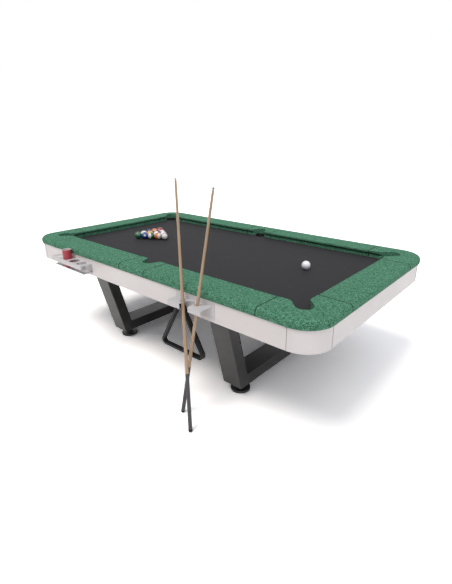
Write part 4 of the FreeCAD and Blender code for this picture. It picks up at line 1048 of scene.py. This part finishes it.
class TABLE_OT_rack(bpy.types.Operator):
    """Finish the ball rack and make the tumbler"""
    bl_idname = "billiard.rack"
    bl_label = "Rack and tumbler"

    def execute(self, context):
        settings = context.scene.billiard.rack
        plastic = moulded_plastic("moulded black plastic", settings.rack, roughness=0.5,
                                  grain=1.2 * MM, Specular_IOR_Level=0.28)
        finish_nodes(plastic, "triangle_rack")
        red = moulded_plastic("red tumbler plastic", settings.tumbler, roughness=0.3,
                              grain=1.2 * MM)
        inside = moulded_plastic("tumbler inside", settings.tumbler_inside, roughness=0.4,
                                 grain=1.2 * MM)
        low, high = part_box("tumbler")
        given = merged("tumbler")
        middle = (low + high) / 2
        # Points less than a tenth of a millimetre up belong to the foot of the beaker.
        base = max((vert.co.xy - middle.xy).length for vert in given.verts
                   if vert.co.z < low.z + 0.1 * MM)
        given.free()
        outline, paints = self.tumbler_outline((high.x - low.x) / 2, base, high.z - low.z)
        shape = turned(outline, segments=64, paints=paints)
        shape.transform(Matrix.Translation((middle.x, middle.y, low.z)))
        mesh = mesh_from(shape, "tumbler_made", (red, inside))
        add_piece("tumbler_made", mesh, "tumbler", "tumbler_red", "tumbler")
        return {"FINISHED"}

    def tumbler_outline(self, rim, base, height):
        """A tapered beaker with a hollowed base, a rolled rim and a thin wall."""
        wall = 2 * MM
        hollow = 2.2 * MM
        roll = 1.5 * MM
        neck = height - 6 * MM
        inner_start = 9 * MM
        bottom = 3.2 * MM
        slope = (rim - base) / height
        inner = base - wall
        points = [(0, hollow), (base - 5 * MM, hollow), (base - 3.6 * MM, 0.3 * MM),
                  (base - 2.8 * MM, 0), (base - 1 * MM, 0), (base - 0.25 * MM, 0.5 * MM),
                  (base, 1.6 * MM), (base + slope * neck - 0.5 * MM, neck)]
        points += arc((rim - roll, height - 1.6 * MM), roll, -50, 180, 10)
        # The pale inside takes in the last six steps round the rim.
        paints = [0] * (len(points) - 1 - 6)
        points += [(inner + slope * neck, neck), (inner + slope * inner_start, inner_start),
                   (inner - 1.2 * MM, bottom + 1.6 * MM), (inner - 4.5 * MM, bottom), (0, bottom)]
        paints += [1] * (len(points) - 1 - len(paints))
        return points, paints


# Towards the camera, to its right and upwards, as seen from the racked balls.
NEAR = Vector((0.76, -0.61, 0.23))
RIGHT = Vector((0.758, 0.652, 0))
UPWARD = Vector((-0.15, 0.174, 0.958))
# Number, colour, direction of the numbered spot and direction of the poles of each racked ball,
# from the tip of the triangle backwards and in each row from the near side.
RACKED = (
    ("15", "#6B1F2A", UPWARD, NEAR),
    ("13", "#E0762B", UPWARD, 0.85 * RIGHT + 0.5 * NEAR),
    ("11", "#A8222B", RIGHT, 0.75 * NEAR + 0.45 * UPWARD),
    ("14", "#1D5B3C", UPWARD, 0.6 * NEAR - 0.8 * RIGHT),
    ("12", "#4B2C7F", RIGHT, 0.7 * UPWARD - 0.5 * RIGHT + 0.5 * NEAR),
    ("10", "#1F3E8C", NEAR, 0.9 * UPWARD + 0.2 * RIGHT),
    ("2", "#1E3F96", NEAR + 0.25 * UPWARD, UPWARD),
    ("1", "#E8B820", RIGHT - 0.4 * NEAR, UPWARD),
    ("8", "#141416", UPWARD + 0.6 * NEAR, RIGHT),
    ("3", "#B3202C", 0.6 * RIGHT + 0.5 * UPWARD, NEAR),
    ("6", "#1C6A40", RIGHT, UPWARD),
    ("9", "#E8B820", RIGHT, 0.8 * UPWARD + 0.5 * NEAR),
    ("4", "#4A2A86", UPWARD, NEAR),
    ("5", "#E4702A", UPWARD - 0.5 * RIGHT, NEAR),
    ("7", "#6E2230", UPWARD + 0.3 * RIGHT, NEAR),
)


class TABLE_OT_balls(bpy.types.Operator):
    """Make the racked balls and the cue ball"""
    bl_idname = "billiard.balls"
    bl_label = "Balls"

    def execute(self, context):
        settings = context.scene.billiard.ball
        shape = bmesh.new()
        bmesh.ops.create_icosphere(shape, subdivisions=6, radius=BALL_RADIUS)
        low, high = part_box("cue_ball")
        shape.transform(Matrix.Translation((low + high) / 2))
        self.smooth(shape)
        white = plain_resin("cue ball resin", settings.cue_ball)
        mesh = mesh_from(shape, "cue_ball_made", (white,))
        add_piece("cue_ball_made", mesh, "cue_ball", "cue_ball_resin", "cue_ball")
        resin = phenolic_resin(settings)
        ink = plain_resin("black print under the polish", settings.ink)
        shape = bmesh.new()
        layers = shape.verts.layers
        layers.float_vector.new("own_place")
        layers.float_color.new("dye")
        layers.float.new("striped")
        places = sorted(((low + high) / 2 for low, high in islands("racked_balls")),
                        key=lambda place: (-round(place.x, 3), place.y))
        for place, (numeral, dye, face, pole) in zip(places, RACKED):
            self.ball(shape, settings, place, numeral, dye, self.stand(face, pole))
        mesh = mesh_from(shape, "racked_balls_made", (resin, ink))
        add_piece("racked_balls_made", mesh, "ball_triangle", "ball_resin", "racked_balls")
        return {"FINISHED"}

    def smooth(self, shape):
        """Shade every face as part of a round surface."""
        for face in shape.faces:
            face.smooth = True

    def stand(self, face, pole):
        """Turn a ball so that its spots lie along one direction and its caps along another."""
        up = pole.normalized()
        side = face - face.dot(up) * up
        side.normalize()
        return Matrix((side, up.cross(side), up)).transposed().to_4x4()

    def ball(self, shape, settings, place, numeral, dye, turn):
        """Add one ball with its own directions and dye, and its number on both spots."""
        # Each number that is added can move the layers, so they are looked up for every ball.
        layers = shape.verts.layers
        own = layers.float_vector["own_place"]
        tone = layers.float_color["dye"]
        striped = layers.float["striped"]
        made = bmesh.ops.create_icosphere(shape, subdivisions=5, radius=BALL_RADIUS)["verts"]
        whole = Matrix.Translation(place) @ turn
        for vert in made:
            vert[own] = vert.co
            vert[tone] = (*linear(dye), 1)
            vert[striped] = 1.0 if int(numeral) > 8 else 0.0
            vert.co = whole @ vert.co
        self.smooth(shape)
        for side in (1, -1):
            self.print_number(shape, settings, whole, numeral, side)

    def print_number(self, shape, settings, whole, numeral, side):
        """Lay a flat number on the round spot, a hair above the resin."""
        letters = bpy.data.curves.new("number", "FONT")
        letters.body = numeral
        letters.align_x = "CENTER"
        letters.align_y = "CENTER"
        # A digit alone is printed larger than two side by side.
        enlarged = 1.2 if len(numeral) == 1 else 1.05
        letters.size = enlarged * settings.digit
        letters.resolution_u = 3
        holder = bpy.data.objects.new("number", letters)
        bpy.context.scene.collection.objects.link(holder)
        graph = bpy.context.evaluated_depsgraph_get()
        mesh = bpy.data.meshes.new_from_object(holder.evaluated_get(graph), depsgraph=graph)
        bpy.data.objects.remove(holder)
        bpy.data.curves.remove(letters)
        flat = bmesh.new()
        flat.from_mesh(mesh)
        bmesh.ops.remove_doubles(flat, verts=flat.verts, dist=SAME_PLACE)
        # Only short edges can follow the round ball.
        longest = 1.6 * MM
        for _ in range(3):
            long = [edge for edge in flat.edges if edge.calc_length() > longest]
            bmesh.ops.subdivide_edges(flat, edges=long, cuts=1)
            bmesh.ops.triangulate(flat, faces=flat.faces)
        flat.to_mesh(mesh)
        flat.free()
        first = len(shape.verts)
        faces_before = len(shape.faces)
        shape.from_mesh(mesh)
        bpy.data.meshes.remove(mesh)
        shape.verts.ensure_lookup_table()
        shape.faces.ensure_lookup_table()
        above_resin = 0.05 * MM
        for vert in shape.verts[first:]:
            across, upward = vert.co.x, vert.co.y
            out = math.sqrt(BALL_RADIUS ** 2 - across ** 2 - upward ** 2) + above_resin
            vert.co = whole @ Vector((side * out, side * across, upward))
        for face in shape.faces[faces_before:]:
            face.material_index = 1
            face.smooth = True


class TABLE_OT_stage(bpy.types.Operator):
    """Set up floor, light and camera"""
    bl_idname = "billiard.stage"
    bl_label = "Stage"

    def execute(self, context):
        stage = context.scene.billiard.stage
        self.floor(stage)
        self.light(context, stage)
        self.camera(context, stage)
        return {"FINISHED"}

    def floor(self, stage):
        """A wide pale floor that the camera sees brightened to white, with its shadows kept."""
        # In metres, so far that the floor's edge meets the horizon.
        reach = 60
        mesh = bpy.data.meshes.new("floor")
        corners = [(reach * x, reach * y, 0) for x, y in ((-1, -1), (1, -1), (1, 1), (-1, 1))]
        mesh.from_pydata(corners, [], [(0, 1, 2, 3)])
        floor = bpy.data.objects.new("floor", mesh)
        bpy.context.scene.collection.objects.link(floor)
        material = bpy.data.materials.new("studio floor")
        material.use_nodes = True
        tree = material.node_tree
        tree.nodes.clear()
        paper = add_node(tree, "ShaderNodeBsdfDiffuse", {"Color": stage.floor})
        bright = add_node(tree, "ShaderNodeBsdfDiffuse", {
            "Color": [stage.floor_gain * channel for channel in stage.floor]})
        both = add_node(tree, "ShaderNodeMixShader", {0: self.seen(tree), 1: paper, 2: bright})
        add_node(tree, "ShaderNodeOutputMaterial", {"Surface": both})
        mesh.materials.append(material)

    def seen(self, tree):
        """1 for a ray that shows the background, directly or in a glossy or clear surface."""
        rays = add_node(tree, "ShaderNodeLightPath").outputs
        shown = rays["Is Camera Ray"]
        for kind in ("Is Glossy Ray", "Is Transmission Ray"):
            shown = add_node(tree, "ShaderNodeMath", {0: shown, 1: rays[kind]},
                             operation="MAXIMUM")
        return shown

    def light(self, context, stage):
        """A soft sun from the near side and above, a wider one from the right and above, and
        surroundings that are brightest overhead."""
        warm = (1.0, 0.96, 0.92)
        cool = (0.92, 0.95, 1.0)
        for name, energy, width, towards, tint in (
                ("key", stage.key, stage.key_width, stage.key_towards, warm),
                ("side", stage.side, stage.side_width, stage.side_towards, cool)):
            lamp = bpy.data.lights.new(name, "SUN")
            lamp.energy = energy
            lamp.angle = width
            lamp.color = tint
            holder = bpy.data.objects.new(name, lamp)
            context.scene.collection.objects.link(holder)
            holder.rotation_euler = towards.to_track_quat("-Z", "Y").to_euler()
        world = bpy.data.worlds.new("surroundings")
        world.use_nodes = True
        tree = world.node_tree
        tree.nodes.clear()
        place = add_node(tree, "ShaderNodeTexCoord").outputs["Generated"]
        height = add_node(tree, "ShaderNodeSeparateXYZ", {"Vector": place}).outputs["Z"]
        strength = add_node(tree, "ShaderNodeMapRange", {
            "Value": height, "To Min": stage.level, "To Max": stage.level + stage.overhead})
        sky = add_node(tree, "ShaderNodeBackground", {"Color": stage.sky, "Strength": strength})
        white = add_node(tree, "ShaderNodeBackground", {"Color": (1, 1, 1)})
        shown = add_node(tree, "ShaderNodeMixShader", {0: self.seen(tree), 1: sky, 2: white})
        add_node(tree, "ShaderNodeOutputWorld", {"Surface": shown})
        context.scene.world = world

    def camera(self, context, stage):
        """The photograph's camera."""
        lens = bpy.data.cameras.new("camera")
        lens.sensor_width = 36
        lens.lens = stage.focal * lens.sensor_width / PHOTO_HEIGHT
        lens.shift_x = (PHOTO_WIDTH / 2 - stage.centre[0]) / PHOTO_HEIGHT
        lens.shift_y = (stage.centre[1] - PHOTO_HEIGHT / 2) / PHOTO_HEIGHT
        lens.clip_end = 200
        level = math.cos(stage.pitch)
        sight = Vector((-math.sin(stage.yaw) * level, math.cos(stage.yaw) * level,
                        -math.sin(stage.pitch)))
        right = sight.cross(UP).normalized()
        up = right.cross(sight)
        turn = Matrix.Rotation(stage.roll, 3, -sight)
        right, up = turn @ right, turn @ up
        camera = bpy.data.objects.new("camera", lens)
        context.scene.collection.objects.link(camera)
        axes = Matrix((right, up, -sight)).transposed()
        camera.matrix_world = Matrix.LocRotScale(MIDDLE + stage.place, axes.to_quaternion(), None)
        context.scene.camera = camera
        context.scene.view_settings.view_transform = "Standard"


PIECES = (TABLE_OT_board, TABLE_OT_rails, TABLE_OT_metalwork, TABLE_OT_fasteners, TABLE_OT_feet,
          TABLE_OT_cues, TABLE_OT_rack, TABLE_OT_balls, TABLE_OT_stage)
GROUPS = (BoardSettings, RailSettings, CoatSettings, FootSettings, CueSettings, RackSettings,
          BallSettings, StageSettings, TableSettings)


class TABLE_PT_panel(bpy.types.Panel):
    """Steps that dress the table"""
    bl_label = "Outdoor billiard table"
    bl_idname = "TABLE_PT_panel"
    bl_space_type = "VIEW_3D"
    bl_region_type = "UI"
    bl_category = "Table"

    def draw(self, context):
        for step in PIECES:
            self.layout.operator(step.bl_idname)


def register():
    for cls in GROUPS + PIECES + (TABLE_PT_panel,):
        bpy.utils.register_class(cls)
    bpy.types.Scene.billiard = bpy.props.PointerProperty(type=TableSettings)


def unregister():
    del bpy.types.Scene.billiard
    for cls in reversed(GROUPS + PIECES + (TABLE_PT_panel,)):
        bpy.utils.unregister_class(cls)


def main():
    register()
    for step in PIECES:
        group, name = step.bl_idname.split(".")
        getattr(getattr(bpy.ops, group), name)()


if __name__ == "__main__":
    main()
